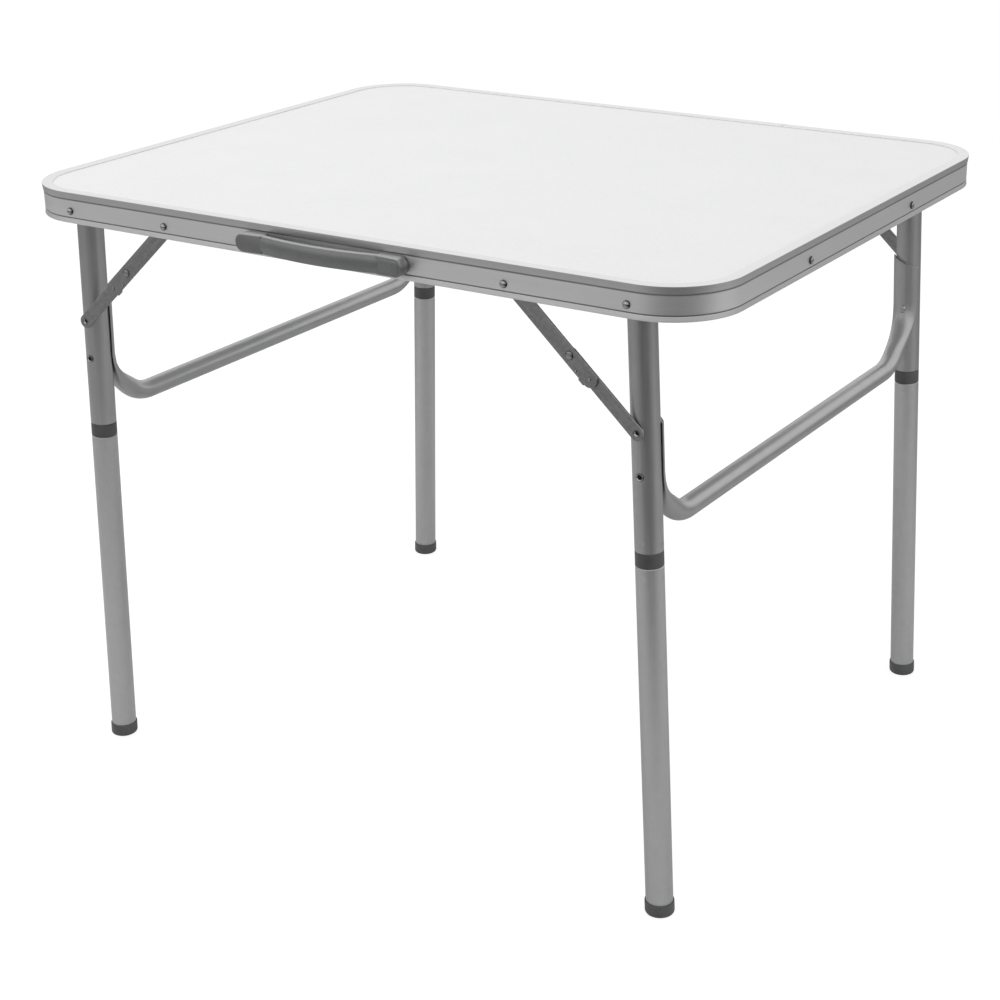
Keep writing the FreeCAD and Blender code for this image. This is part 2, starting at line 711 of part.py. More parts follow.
def on_rail(item, side, end):
    # hangs a strap from its rivet in the rail, at the slope of the open brace
    angle = f"180 - {brace_angle} / 1 deg" if side < 0 else f"{brace_angle} / 1 deg"
    place_y = at_depth(end, "strap_depth")
    return place(item, f"{side} * brace_spread", place_y, "pivot_height", "0; 1; 0", angle)


def upper_brace(side, end):
    bar = strap(end, upper_reach, "upper_width", "strap_tail")
    start_y = "0" if end < 0 else "-strap_thick"
    tab_floor = "upper_width / 2 - margin" if side < 0 else "-upper_width / 2 - tab_reach"
    tab_x = f"{upper_reach} + strap_tail - tab_length"
    tab = block("tab_length", "strap_thick", "tab_reach + margin", tab_x, start_y, tab_floor)
    item = cut(fuse([bar, tab]), [strap_hole("0"), strap_hole(upper_reach)])
    return on_rail(item, side, end)


def mid_rivet(side, end):
    start_y = "-mid_head" if end < 0 else "-strap_thick - pin_flush"
    head_y = "-mid_head" if end < 0 else "0"
    item = fuse([
        cylinder("rivet_radius", "mid_head + strap_thick + pin_flush", upper_reach, start_y, "0", along_y),
        cylinder("rivet_head", "mid_head", upper_reach, head_y, "0", along_y),
    ])
    return on_rail(item, side, end)


def lower_brace(side, end):
    item = cut(strap(end, lower_reach, "lower_width", "0"), [strap_hole("0"), strap_hole(lower_reach)])
    angle = f"-{brace_angle} / 1 deg" if side < 0 else f"180 + {brace_angle} / 1 deg"
    x = f"{side} * (pivot_spread + brace_drop * sin(splay))"
    z = f"pivot_height - {brace_fall}"
    return place(item, x, at_depth(end, "lower_depth"), z, "0; 1; 0", angle)


for name, side in sides.items():
    for end_name, end in ends.items():
        node(upper_brace(side, end), f"{name}_{end_name}_upper_brace")
        node(mid_rivet(side, end), f"{name}_{end_name}_brace_rivet")
        node(lower_brace(side, end), f"{name}_{end_name}_lower_brace")

doc.recompute()
faults = [item.Label for item in doc.Objects if {"Invalid", "Error"} & set(item.State)]
faults += [item.Label for item in nodes if item.Shape.isNull() or not item.Shape.isValid()]
if faults:
    raise RuntimeError(f"not built: {faults}")
os.makedirs("parts", exist_ok=True)
for item in nodes:
    item.Shape.exportStep(f"parts/{item.Label}.step")
print(f"{len(nodes)} parts")
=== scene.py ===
import bpy
import bmesh
import json
import math
from mathutils import Matrix, Vector


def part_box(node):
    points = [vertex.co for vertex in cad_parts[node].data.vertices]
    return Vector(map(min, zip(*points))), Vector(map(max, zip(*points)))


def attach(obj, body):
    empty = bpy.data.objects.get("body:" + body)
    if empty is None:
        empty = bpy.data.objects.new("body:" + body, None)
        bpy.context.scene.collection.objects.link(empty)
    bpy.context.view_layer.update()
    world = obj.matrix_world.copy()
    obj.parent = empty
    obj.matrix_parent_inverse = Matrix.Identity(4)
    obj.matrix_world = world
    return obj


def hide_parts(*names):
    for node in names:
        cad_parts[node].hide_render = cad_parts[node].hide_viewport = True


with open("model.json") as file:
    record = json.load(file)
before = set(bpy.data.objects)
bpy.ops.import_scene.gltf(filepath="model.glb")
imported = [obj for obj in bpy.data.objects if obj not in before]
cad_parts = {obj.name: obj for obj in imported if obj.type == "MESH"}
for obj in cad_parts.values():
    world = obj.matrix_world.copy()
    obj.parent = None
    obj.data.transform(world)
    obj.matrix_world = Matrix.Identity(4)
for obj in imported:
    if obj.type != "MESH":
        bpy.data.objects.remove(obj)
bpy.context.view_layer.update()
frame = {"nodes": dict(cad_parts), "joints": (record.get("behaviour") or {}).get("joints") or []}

mm = 0.001
weldReach = 1e-6
nearAxis = 1e-9
sharpAngle = math.radians(38)
sideSigns = {"left": -1, "right": 1}
ends = ("front", "back")
alongX = Vector((1, 0, 0))
upwards = Vector((0, 0, 1))
inward = {"front": Vector((0, 1, 0)), "back": Vector((0, -1, 0))}
joints = {joint["name"]: joint for joint in frame["joints"]}
railLow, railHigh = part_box("edge_rail")
centreY = (railLow.y + railHigh.y) / 2
print("frame loaded", len(frame["nodes"]), "nodes")


# Small tools for meshes

def addObject(name, data):
    piece = bpy.data.objects.new(name, data)
    bpy.context.scene.collection.objects.link(piece)
    return piece


def newMesh(name, verts, edges=(), faces=()):
    mesh = bpy.data.meshes.new(name)
    mesh.from_pydata(verts, edges, faces)
    return mesh


def evaluatedMesh(piece):
    bpy.context.view_layer.update()
    graph = bpy.context.evaluated_depsgraph_get()
    return bpy.data.meshes.new_from_object(piece.evaluated_get(graph))


def smoothStep(share):
    share = min(1.0, max(0.0, share))
    return share * share * (3 - 2 * share)


def storeVectors(mesh, name, vectors):
    layer = mesh.attributes.new(name, "FLOAT_VECTOR", "POINT")
    layer.data.foreach_set("vector", [number for vector in vectors for number in vector])


def smoothFaces(mesh):
    mesh.shade_smooth()
    mesh.set_sharp_from_angle(angle=sharpAngle)
    return mesh


def tidyMesh(mesh):
    work = bmesh.new()
    work.from_mesh(mesh)
    bmesh.ops.remove_doubles(work, verts=work.verts, dist=weldReach)
    bmesh.ops.recalc_face_normals(work, faces=work.faces)
    work.to_mesh(mesh)
    work.free()
    return smoothFaces(mesh)


def joinMeshes(meshes):
    work = bmesh.new()
    for mesh in meshes:
        work.from_mesh(mesh)
    joined = meshes[0].copy()
    work.to_mesh(joined)
    work.free()
    return joined


def settle(name, mesh, body, nodes, finish):
    # makes the finished piece and hands it to the frame
    mesh.materials.clear()
    mesh.materials.append(finish)
    piece = addObject(name, mesh)
    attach(piece, body)
    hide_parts(*nodes)
    return piece


def roundCorners(corners, radii, closed=True, steps=6):
    # a polyline whose corners are replaced by arcs
    count = len(corners)
    path = []
    for index, (corner, radius) in enumerate(zip(corners, radii)):
        here = Vector(corner)
        atEnd = not closed and index in (0, count - 1)
        if radius <= 0 or atEnd:
            path.append(here)
            continue
        before = (Vector(corners[index - 1]) - here).normalized()
        after = (Vector(corners[(index + 1) % count]) - here).normalized()
        half = before.angle(after) / 2
        reach = radius / math.tan(half)
        middle = here + (before + after).normalized() * (radius / math.sin(half))
        start = here + before * reach - middle
        stop = here + after * reach - middle
        turn = start.angle(stop)
        for step in range(steps + 1):
            share = step / steps
            spoke = start * math.sin((1 - share) * turn) + stop * math.sin(share * turn)
            path.append(middle + spoke / math.sin(turn))
    return path


def roundedRectangle(low, high, radius, steps=6):
    corners = [low, (high[0], low[1]), high, (low[0], high[1])]
    radii = radius if isinstance(radius, list) else [radius] * 4
    return roundCorners(corners, radii, steps=steps)


def circlePoints(x, y, radius, count=24):
    turns = [2 * math.pi * index / count for index in range(count)]
    return [Vector((x + radius * math.cos(t), y + radius * math.sin(t))) for t in turns]


def bridgeRings(rings, closed=False):
    # faces from each ring of points to the next; a ring of one point is a pole
    count = max(len(ring) for ring in rings)
    following = rings[1:] + rings[:1] if closed else rings[1:]
    faces = []
    for lower, upper in zip(rings, following):
        for step in range(count):
            after = (step + 1) % count
            corners = [lower[step % len(lower)], lower[after % len(lower)],
                       upper[after % len(upper)], upper[step % len(upper)]]
            faces.append(list(dict.fromkeys(corners)))
    return faces


def lathe(profile, closed=False, segments=72, dimples=(), shadeTones=None):
    # profile is (radius, height), dimples are (height, angle, width, depth), and a tone of 0 is painted shade
    # on the metal
    verts, rings, grain, unshadedShare = [], [], [], []
    for (radius, height), tone in zip(profile, shadeTones or [1.0] * len(profile)):
        steps = segments if radius > nearAxis else 1
        rings.append(range(len(verts), len(verts) + steps))
        unshadedShare += [tone] * steps
        for step in range(steps):
            angle = 2 * math.pi * step / segments
            sunk = radius
            for level, facing, width, depth in dimples:
                turn = (angle - facing + math.pi) % (2 * math.pi) - math.pi
                away = math.hypot(turn * radius, height - level) / width
                sunk -= depth * math.exp(-away * away * 2)
            verts.append((sunk * math.cos(angle), sunk * math.sin(angle), height))
            grain.append((radius * math.cos(angle), radius * math.sin(angle), height))
    mesh = newMesh("turned", verts, faces=bridgeRings(rings, closed))
    storeVectors(mesh, "grain", grain)
    # painted shade values, stored per point: 0 dark and 1 the metal's own tone
    layer = mesh.attributes.new("unshadedShare", "FLOAT", "POINT")
    layer.data.foreach_set("value", unshadedShare)
    return tidyMesh(mesh)


def turnedLoop(outline, radii, closed=True, steps=4, segments=72):
    path = roundCorners(outline, radii, closed=closed, steps=steps)
    return lathe([tuple(place) for place in path], closed=closed, segments=segments)


def spacedLevels(low, high, marks, step=1 * mm, spread=5 * mm, coarse=30 * mm):
    # heights for a tube's rings, close together only near its marks
    levels = {low, high}
    count = max(1, round((high - low) / coarse))
    levels.update(low + (high - low) * index / count for index in range(count + 1))
    for mark in marks:
        places = round(spread / step)
        levels.update(mark + index * step for index in range(-places, places + 1))
    return sorted(level for level in levels if low <= level <= high)


def flatPlate(outlines, thick, rim, rimSteps=2):
    # a pressed plate with rounded rims; the first outline is its edge and the others are holes
    curve = bpy.data.curves.new("plate", "CURVE")
    curve.dimensions = "2D"
    curve.fill_mode = "BOTH"
    curve.extrude = thick / 2 - rim
    curve.bevel_depth = rim
    curve.bevel_resolution = rimSteps
    curve.offset = -rim
    for outline in outlines:
        spline = curve.splines.new("POLY")
        spline.points.add(len(outline) - 1)
        for point, place in zip(spline.points, outline):
            point.co = (place[0], place[1], 0, 1)
        spline.use_cyclic_u = True
    blank = addObject("plateBlank", curve)
    mesh = evaluatedMesh(blank)
    bpy.data.objects.remove(blank)
    tidyMesh(mesh)
    storeVectors(mesh, "grain", [(v.co.y, v.co.z, v.co.x) for v in mesh.vertices])
    return mesh


def standUp(mesh, middle, wide, high):
    # turns a plate so that its own x and y run along the given directions
    turn = Matrix((wide, high, wide.cross(high))).transposed().to_4x4()
    mesh.transform(Matrix.Translation(middle) @ turn)
    return mesh


def solidBoxes(node):
    # lowest and highest corner of each separate solid in a node
    work = bmesh.new()
    work.from_mesh(frame["nodes"][node].data)
    bmesh.ops.remove_doubles(work, verts=work.verts, dist=weldReach)
    left = set(work.verts)
    boxes = []
    while left:
        edge = [left.pop()]
        found = list(edge)
        while edge:
            for link in edge.pop().link_edges:
                for vert in link.verts:
                    if vert in left:
                        left.remove(vert)
                        edge.append(vert)
                        found.append(vert)
        places = [vert.co for vert in found]
        low = Vector([min(place[axis] for place in places) for axis in range(3)])
        high = Vector([max(place[axis] for place in places) for axis in range(3)])
        boxes.append((low, high))
    work.free()
    return sorted(boxes, key=lambda box: tuple(round(number, 5) for number in box[0]))


def endOf(place):
    return "front" if place.y < centreY else "back"


# Finishes

def fillInputs(tree, node, inputs):
    # each input is linked to a socket or takes a plain value
    for key, value in inputs.items():
        if isinstance(value, bpy.types.NodeSocket):
            tree.links.new(value, node.inputs[key])
        else:
            node.inputs[key].default_value = value


def addNode(tree, kind, inputs=None, **settings):
    node = tree.nodes.new(kind)
    for name, value in settings.items():
        setattr(node, name, value)
    fillInputs(tree, node, inputs or {})
    return node


def asColour(colour):
    # a single number is an even grey, and a socket stays as it is
    if isinstance(colour, bpy.types.NodeSocket):
        return colour
    return (*colour, 1) if isinstance(colour, tuple) else (colour, colour, colour, 1)


def newFinish(name, colour, metallic, specular=0.5):
    finish = bpy.data.materials.new(name)
    finish.use_nodes = True
    shader = finish.node_tree.nodes["Principled BSDF"]
    fillInputs(finish.node_tree, shader, {
        "Base Color": asColour(colour), "Metallic": metallic, "Specular IOR Level": specular})
    return finish, finish.node_tree, shader


def addNoise(tree, source, stretch, detail=3, rough=0.55):
    scale = stretch if isinstance(stretch, tuple) else (stretch,) * 3
    mapping = addNode(tree, "ShaderNodeMapping", {"Vector": source, "Scale": scale})
    noise = addNode(tree, "ShaderNodeTexNoise", {
        "Vector": mapping.outputs["Vector"], "Scale": 1, "Detail": detail, "Roughness": rough})
    return noise.outputs["Fac"]


def addRange(tree, source, low, high, fromLow=0.3, fromHigh=0.7):
    span = addNode(tree, "ShaderNodeMapRange", {
        "Value": source, "From Min": fromLow, "From Max": fromHigh, "To Min": low, "To Max": high})
    return span.outputs["Result"]


def addMix(tree, factor, first, second):
    inputs = {"Factor": factor, 6: asColour(first), 7: asColour(second)}   # 6 and 7 are the two colours
    return addNode(tree, "ShaderNodeMix", inputs, data_type="RGBA").outputs[2]


def addMath(tree, operation, first, second=0):
    return addNode(tree, "ShaderNodeMath", {0: first, 1: second}, operation=operation).outputs[0]


def addBand(tree, level, low, high, soft):
    # 1 between two levels of a section, with soft edges
    rise = addRange(tree, level, 0, 1, low - soft, low)
    fall = addRange(tree, level, 1, 0, high, high + soft)
    return addMath(tree, "MULTIPLY", rise, fall)


def endFinish(tree, shader, look, tone, gloss, relief):
    bump = addNode(tree, "ShaderNodeBump", {
        "Height": relief, "Strength": look["bump"], "Distance": look["bumpDepth"]})
    fillInputs(tree, shader, {
        "Base Color": tone, "Roughness": addRange(tree, gloss, *look["rough"]),
        "Normal": bump.outputs["Normal"]})


def metalFinish(name, look):
    # brushed lines follow the grain, which each piece stores as (across, across, along)
    finish, tree, shader = newFinish(name, look["colour"], 1)
    grain = addNode(tree, "ShaderNodeAttribute", attribute_name="grain").outputs["Vector"]
    place = addNode(tree, "ShaderNodeTexCoord").outputs["Object"]
    lines = addNoise(tree, grain, look["lines"], detail=4, rough=0.65)
    cloud = addNoise(tree, place, look["cloud"], detail=3)
    tone = addMix(tree, addRange(tree, lines, 0, 1), look["dark"], look["colour"])
    tone = addMix(tree, addRange(tree, cloud, 0, look["cloudDepth"]), tone, look["worn"])
    if "paintedShade" in look:   # painted shade where a turned piece's shade values are low
        unshadedShare = addNode(tree, "ShaderNodeAttribute", attribute_name="unshadedShare").outputs["Fac"]
        tone = addMix(tree, unshadedShare, look["paintedShade"], tone)
    # painted shade on a swept section, strip by strip across its height
    if "paintedShadeBands" in look:
        apart = addNode(tree, "ShaderNodeSeparateXYZ", {"Vector": grain}).outputs
        level = addMath(tree, "MULTIPLY", apart["Y"], -1)   # a swept section's grain runs downwards
        for sizes, grey in look["paintedShadeBands"].values():
            low, high, soft, reach = (size * mm for size in sizes)
            outer = addRange(tree, apart["X"], 1, 0, reach, reach + soft)
            share = addMath(tree, "MULTIPLY", addBand(tree, level, low, high, soft), outer)
            tone = addMix(tree, share, tone, grey)
    endFinish(tree, shader, look, tone, lines, lines)
    return finish


def plasticFinish(name, look):
    finish, tree, shader = newFinish(name, look["colour"], look.get("metallic", 0), look["specular"])
    place = addNode(tree, "ShaderNodeTexCoord").outputs["Object"]
    pebble = addNoise(tree, place, look["pebble"], detail=2, rough=0.5)
    cloud = addNoise(tree, place, look["cloud"], detail=4, rough=0.6)
    tone = addMix(tree, addRange(tree, cloud, 0, 1), look["colour"], look["pale"])
    if "paintedHighlight" in look:   # a painted highlight, a paler line along the top edge
        low, high, soft, grey = look["paintedHighlight"]
        height = addNode(tree, "ShaderNodeSeparateXYZ", {"Vector": place}).outputs["Z"]
        tone = addMix(tree, addBand(tree, height, low, high, soft), tone, grey)
    endFinish(tree, shader, look, tone, pebble, pebble)
    return finish


def laminateFinish(name, look):
    finish, tree, shader = newFinish(name, look["colour"], 0, look["specular"])
    place = addNode(tree, "ShaderNodeTexCoord").outputs["Object"]
    speck = addNoise(tree, place, look["speck"], detail=3, rough=0.7)
    cloud = addNoise(tree, place, look["cloud"], detail=2, rough=0.5)
    tone = addMix(tree, addRange(tree, speck, 0, 1, *look["fleckSpan"]), look["fleck"], look["colour"])
    tone = addMix(tree, addRange(tree, cloud, 0, look["cloudDepth"]), tone, look["pale"])
    endFinish(tree, shader, look, tone, cloud, speck)
    return finish


boardFinish = laminateFinish("whiteLaminate", {
    "colour": (0.90, 0.90, 0.90), "fleck": (0.85, 0.853, 0.856), "pale": (0.92, 0.92, 0.918),
    "speck": 420, "fleckSpan": (0.42, 0.62), "cloud": 14, "cloudDepth": 0.5,
    "rough": (0.38, 0.48), "specular": 0.35, "bump": 0.12, "bumpDepth": 0.05 * mm,
})
railFinish = metalFinish("satinRail", {
    "colour": (0.86, 0.86, 0.863), "dark": (0.76, 0.76, 0.763), "worn": (0.90, 0.90, 0.90),
    "lines": (2200, 2200, 6), "cloud": 9, "cloudDepth": 0.5,
    "rough": (0.36, 0.46), "bump": 0.1, "bumpDepth": 0.05 * mm,
    "paintedShadeBands": {   # painted shade on the section: low, high, soft edge and depth behind the face in mm, and the tone there
        "lip": ((29.9, 31, 0.1, 12), 0.78),
        "bead": ((23.4, 29.7, 0.2, 1.5), 0.60),
        "groove": ((22.4, 23.2, 0.7, 2), 0.24),
        "footLine": ((4.9, 5.8, 0.5, 2), 0.3),
        "foot": ((-1, 4.6, 0.3, 1.5), 0.78),
    },
})
upperTubeFinish = metalFinish("greyTube", {
    "colour": (0.465, 0.467, 0.47), "dark": (0.40, 0.402, 0.405), "worn": (0.50, 0.50, 0.50),
    "lines": (2600, 2600, 10), "cloud": 30, "cloudDepth": 0.3,
    "rough": (0.34, 0.42), "bump": 0.06, "bumpDepth": 0.04 * mm,
})
lowerTubeFinish = metalFinish("satinTube", {
    "colour": (0.55, 0.552, 0.555), "dark": (0.50, 0.502, 0.505), "worn": (0.59, 0.59, 0.59),
    "lines": (1200, 1200, 120), "cloud": 120, "cloudDepth": 0.35,
    "rough": (0.34, 0.46), "bump": 0.1, "bumpDepth": 0.05 * mm,
})
crossTubeFinish = metalFinish("drawnTube", {
    "colour": (0.46, 0.462, 0.465), "dark": (0.40, 0.402, 0.405), "worn": (0.50, 0.50, 0.50),
    "lines": (2200, 2200, 12), "cloud": 60, "cloudDepth": 0.4,
    "rough": (0.34, 0.44), "bump": 0.08, "bumpDepth": 0.05 * mm,
})
strapFinish = metalFinish("zincStrap", {
    "colour": (0.29, 0.292, 0.295), "dark": (0.21, 0.212, 0.215), "worn": (0.35, 0.35, 0.345),
    "lines": (900, 900, 700), "cloud": 420, "cloudDepth": 0.8,
    "rough": (0.40, 0.55), "bump": 0.3, "bumpDepth": 0.04 * mm,
})
rivetFinish = metalFinish("platedRivet", {
    "colour": (0.46, 0.46, 0.46), "dark": (0.36, 0.36, 0.36), "worn": (0.52, 0.52, 0.515),
    "lines": (900, 900, 900), "cloud": 500, "cloudDepth": 0.6,
    # its last entry is the tone of painted shade on dome rims and in rivet holes
    "rough": (0.14, 0.24), "bump": 0.1, "bumpDepth": 0.03 * mm, "paintedShade": 0.02,
})
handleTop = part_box("handle_grip")[1].z
handleFinish = plasticFinish("greyHandle", {
    "colour": (0.215, 0.217, 0.22), "pale": (0.245, 0.247, 0.25), "pebble": 1700, "cloud": 60,
    "rough": (0.26, 0.38), "specular": 1.0, "metallic": 0.5, "bump": 0.18, "bumpDepth": 0.06 * mm,
    "paintedHighlight": (handleTop - 0.9 * mm, handleTop + 2 * mm, 0.7 * mm, 0.42),   # painted highlight: low, high, soft edge, tone
})
collarFinish = plasticFinish("darkCollar", {
    "colour": (0.075, 0.076, 0.078), "pale": (0.1, 0.101, 0.103), "pebble": 1500, "cloud": 90,
    "rough": (0.40, 0.55), "specular": 0.45, "bump": 0.2, "bumpDepth": 0.05 * mm,
})
footFinish = plasticFinish("footCap", {
    "colour": (0.095, 0.096, 0.098), "pale": (0.12, 0.121, 0.123), "pebble": 1300, "cloud": 80,
    "rough": (0.46, 0.62), "specular": 0.4, "bump": 0.25, "bumpDepth": 0.06 * mm,
})
spacerFinish = plasticFinish("turnedSpacer", {
    "colour": (0.16, 0.16, 0.165), "pale": (0.20, 0.20, 0.205), "pebble": 1500, "cloud": 120,
    "rough": (0.38, 0.5), "specular": 0.5, "bump": 0.15, "bumpDepth": 0.04 * mm,
})
print("finishes made")


# Node trees: a section swept along a path, and a part set out on points

def newTree(name):
    tree = bpy.data.node_groups.new(name, "GeometryNodeTree")
    inputs = {"Geometry": "Geometry", "Shape": "Object", "Finish": "Material", "Shape Size": "Float"}
    for label, kind in inputs.items():
        tree.interface.new_socket(label, in_out="INPUT", socket_type=f"NodeSocket{kind}")
    tree.interface.new_socket("Geometry", in_out="OUTPUT", socket_type="NodeSocketGeometry")
    given = addNode(tree, "NodeGroupInput").outputs
    source = addNode(tree, "GeometryNodeObjectInfo", {"Object": given["Shape"]})
    sized = addNode(tree, "GeometryNodeTransform", {
        "Geometry": source.outputs["Geometry"], "Scale": given["Shape Size"]})
    return tree, given, sized.outputs["Geometry"]


def endTree(tree, given, geometry):
    realize = addNode(tree, "GeometryNodeRealizeInstances", {"Geometry": geometry})
    paint = addNode(tree, "GeometryNodeSetMaterial", {
        "Geometry": realize.outputs["Geometry"], "Material": given["Finish"]})
    addNode(tree, "NodeGroupOutput", {"Geometry": paint.outputs["Geometry"]})
    return tree


def namedAttribute(tree, name, kind):
    node = addNode(tree, "GeometryNodeInputNamedAttribute", {"Name": name}, data_type=kind)
    return node.outputs["Attribute"]


def storeAttribute(tree, geometry, name, kind, value):
    inputs = {"Geometry": geometry, "Name": name, "Value": value}
    node = addNode(tree, "GeometryNodeStoreNamedAttribute", inputs, data_type=kind, domain="POINT")
    return node.outputs["Geometry"]


def makeSweepTree():
    tree, given, shape = newTree("sweptSection")
    path = addNode(tree, "GeometryNodeMeshToCurve", {"Mesh": given["Geometry"]})
    level = addNode(tree, "GeometryNodeSetCurveNormal", {"Curve": path.outputs["Curve"]}, mode="Z_UP")
    run = addNode(tree, "GeometryNodeSplineParameter").outputs["Length"]
    route = storeAttribute(tree, level.outputs["Curve"], "along", "FLOAT", run)
    section = addNode(tree, "GeometryNodeMeshToCurve", {"Mesh": shape})
    spot = addNode(tree, "GeometryNodeInputPosition").outputs["Position"]
    profile = storeAttribute(tree, section.outputs["Curve"], "spot", "FLOAT_VECTOR", spot)
    sweep = addNode(tree, "GeometryNodeCurveToMesh", {
        "Curve": route, "Profile Curve": profile, "Fill Caps": True})
    apart = addNode(tree, "ShaderNodeSeparateXYZ", {"Vector": namedAttribute(tree, "spot", "FLOAT_VECTOR")})
    grain = addNode(tree, "ShaderNodeCombineXYZ", {
        "X": apart.outputs["X"], "Y": apart.outputs["Y"], "Z": namedAttribute(tree, "along", "FLOAT")})
    swept = storeAttribute(tree, sweep.outputs["Mesh"], "grain", "FLOAT_VECTOR", grain.outputs["Vector"])
    return endTree(tree, given, swept)


def makeSetOutTree():
    tree, given, shape = newTree("setOutParts")
    facing = namedAttribute(tree, "facing", "FLOAT_VECTOR")
    turn = addNode(tree, "FunctionNodeAlignRotationToVector", {"Vector": facing}, axis="Z")
    spread = addNode(tree, "GeometryNodeInstanceOnPoints", {
        "Points": given["Geometry"], "Instance": shape, "Rotation": turn.outputs["Rotation"],
        "Scale": namedAttribute(tree, "stretch", "FLOAT_VECTOR")})
    return endTree(tree, given, spread.outputs["Instances"])


def runTree(tree, baseMesh, shapeMesh, finish):
    # sets the inputs by identifier, evaluates once and leaves a plain mesh
    base = addObject("base", baseMesh)
    shape = addObject("shape", shapeMesh)
    values = {"Shape": shape, "Finish": finish, "Shape Size": 1.0}
    modifier = base.modifiers.new("build", "NODES")
    modifier.node_group = tree
    for item in tree.interface.items_tree:
        if item.in_out == "INPUT" and item.name in values:
            modifier[item.identifier] = values[item.name]
    mesh = evaluatedMesh(base)
    base.modifiers.remove(modifier)
    bpy.data.objects.remove(base)
    bpy.data.objects.remove(shape)
    return mesh


sweepTree = makeSweepTree()
setOutTree = makeSetOutTree()


def sweepAlong(path, section, finish):
    pathMesh = newMesh("path", path, [(i, i + 1) for i in range(len(path) - 1)])
    total = len(section)
    sectionEdges = [(i, (i + 1) % total) for i in range(total)]
    sectionMesh = newMesh("section", [(x, -y, 0) for x, y in section], sectionEdges)   # y is drawn downwards
    return tidyMesh(runTree(sweepTree, pathMesh, sectionMesh, finish))


def setOut(partMesh, spots, finish):
    # spots are (place, facing, length), with a length of 1 for a part that keeps its own
    points = newMesh("spots", [place for place, facing, length in spots])
    storeVectors(points, "facing", [facing for place, facing, length in spots])
    storeVectors(points, "stretch", [(1, 1, length) for place, facing, length in spots])
    return smoothFaces(runTree(setOutTree, points, partMesh, finish))


# Table top

railSizes = {
    "cornerRadius": 65 * mm, "cornerSteps": 28, "height": 30 * mm, "seamWidth": 0.5 * mm,
    "lipWidth": 10.5 * mm, "lipThick": 1.2 * mm, "boardThick": 3 * mm,
    "beadHeight": 7 * mm, "beadCrown": (0.1 * mm, 2.4 * mm), "beadFoot": (0.6 * mm, 0.4 * mm),
    "bandRecess": 1 * mm, "step": 0.2 * mm, "footBead": 5 * mm, "footLine": 0.7 * mm,
    "footCrown": (0.86 * mm, 3 * mm), "footEdge": (0.57 * mm, 0.7 * mm), "footUnder": 1 * mm,
    "webDepth": 2.6 * mm, "toeReach": 6 * mm, "toeThick": 1.2 * mm,
    "ledgeReach": 7.5 * mm, "ledgeThick": 1.2 * mm,
}


def railSection():
    # depth behind the outer face, height above the rail's foot, and a corner radius in mm
    s = railSizes
    height, lip, recess, web = s["height"], s["lipWidth"], s["bandRecess"], s["webDepth"]
    slotTop = height - s["lipThick"]
    slotFloor = slotTop - s["boardThick"]
    ledgeFloor = slotFloor - s["ledgeThick"]
    beadFloor = height - s["beadHeight"]
    crownDepth, crownDrop = s["beadCrown"]
    beadDepth, beadLift = s["beadFoot"]
    footTop = s["footBead"] + s["footLine"]
    lineFloor = recess + s["footLine"]
    outline = [
        (lip, height, 0.5), (0, height, 0.35), (crownDepth, height - crownDrop, 5),
        (beadDepth, beadFloor + beadLift, 0.3), (recess, beadFloor - s["step"], 0.2),
        (recess, footTop, 0.1), (lineFloor, footTop - s["step"], 0.1), (lineFloor, s["footBead"], 0.1),
        (recess, s["footBead"] - s["step"], 0.2), (*s["footCrown"], 3), (*s["footEdge"], 0.4),
        (s["footUnder"], 0, 0.3), (s["toeReach"], 0, 0.5), (s["toeReach"], s["toeThick"], 0.4),
        (web, s["toeThick"], 0.6), (web, ledgeFloor, 0.6), (s["ledgeReach"], ledgeFloor, 0.4),
        (s["ledgeReach"], slotFloor, 0.4), (web, slotFloor, 0.1), (web, slotTop, 0.1), (lip, slotTop, 0.5),
    ]
    corners = [(depth, level) for depth, level, radius in outline]
    return roundCorners(corners, [radius * mm for depth, level, radius in outline], steps=5)


def railPath():
    # once round the table from the seam in the back rail, at the outer face and the rail's foot
    s = railSizes
    low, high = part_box("rail_splice")
    seam = (low.x + high.x) / 2
    foot = railHigh.z - s["height"]
    corners = [
        (seam + s["seamWidth"] / 2, railHigh.y), (railHigh.x, railHigh.y), (railHigh.x, railLow.y),
        (railLow.x, railLow.y), (railLow.x, railHigh.y), (seam - s["seamWidth"] / 2, railHigh.y),
    ]
    flat = roundCorners(corners, [s["cornerRadius"]] * len(corners), closed=False, steps=s["cornerSteps"])
    return [(place.x, place.y, foot) for place in flat]


railMesh = sweepAlong(railPath(), railSection(), railFinish)
settle("edgeRail", railMesh, "table_top", ["edge_rail"], railFinish)
board = frame["nodes"]["table_board"]
board.data.materials.clear()
board.data.materials.append(boardFinish)
print("table top made", len(railMesh.vertices), "rail points")


# Rivets and screws of the table top

hardware = {
    "domeRadius": 3.6 * mm, "domeHeight": 2.2 * mm, "domeSteps": 8, "domeFoot": 0.12,
    # domeShade is the gain and offset of the painted shade round a dome's rim
    "domeShade": (1.6, 0.15), "shankRadius": 2.5 * mm,
    "tailRadius": 4 * mm, "tailHeight": 1.5 * mm, "skirt": 0.6 * mm,
    "boreRadius": 2.55 * mm, "boreRim": 0.1 * mm, "spacerRadius": 4.5 * mm, "rim": 0.35 * mm,
    # shares of radius and height
    "tailShape": [(1, 0.45), (0.86, 0.85), (0.62, 1), (0.42, 0.92), (0.3, 0.55), (0, 0.45)],
    "nutShape": [(1, 0), (1, 0.8), (0.86, 1), (0, 1)],
}


def sizedShape(shape, radius, height):
    return [(share * radius, lift * height) for share, lift in shape]


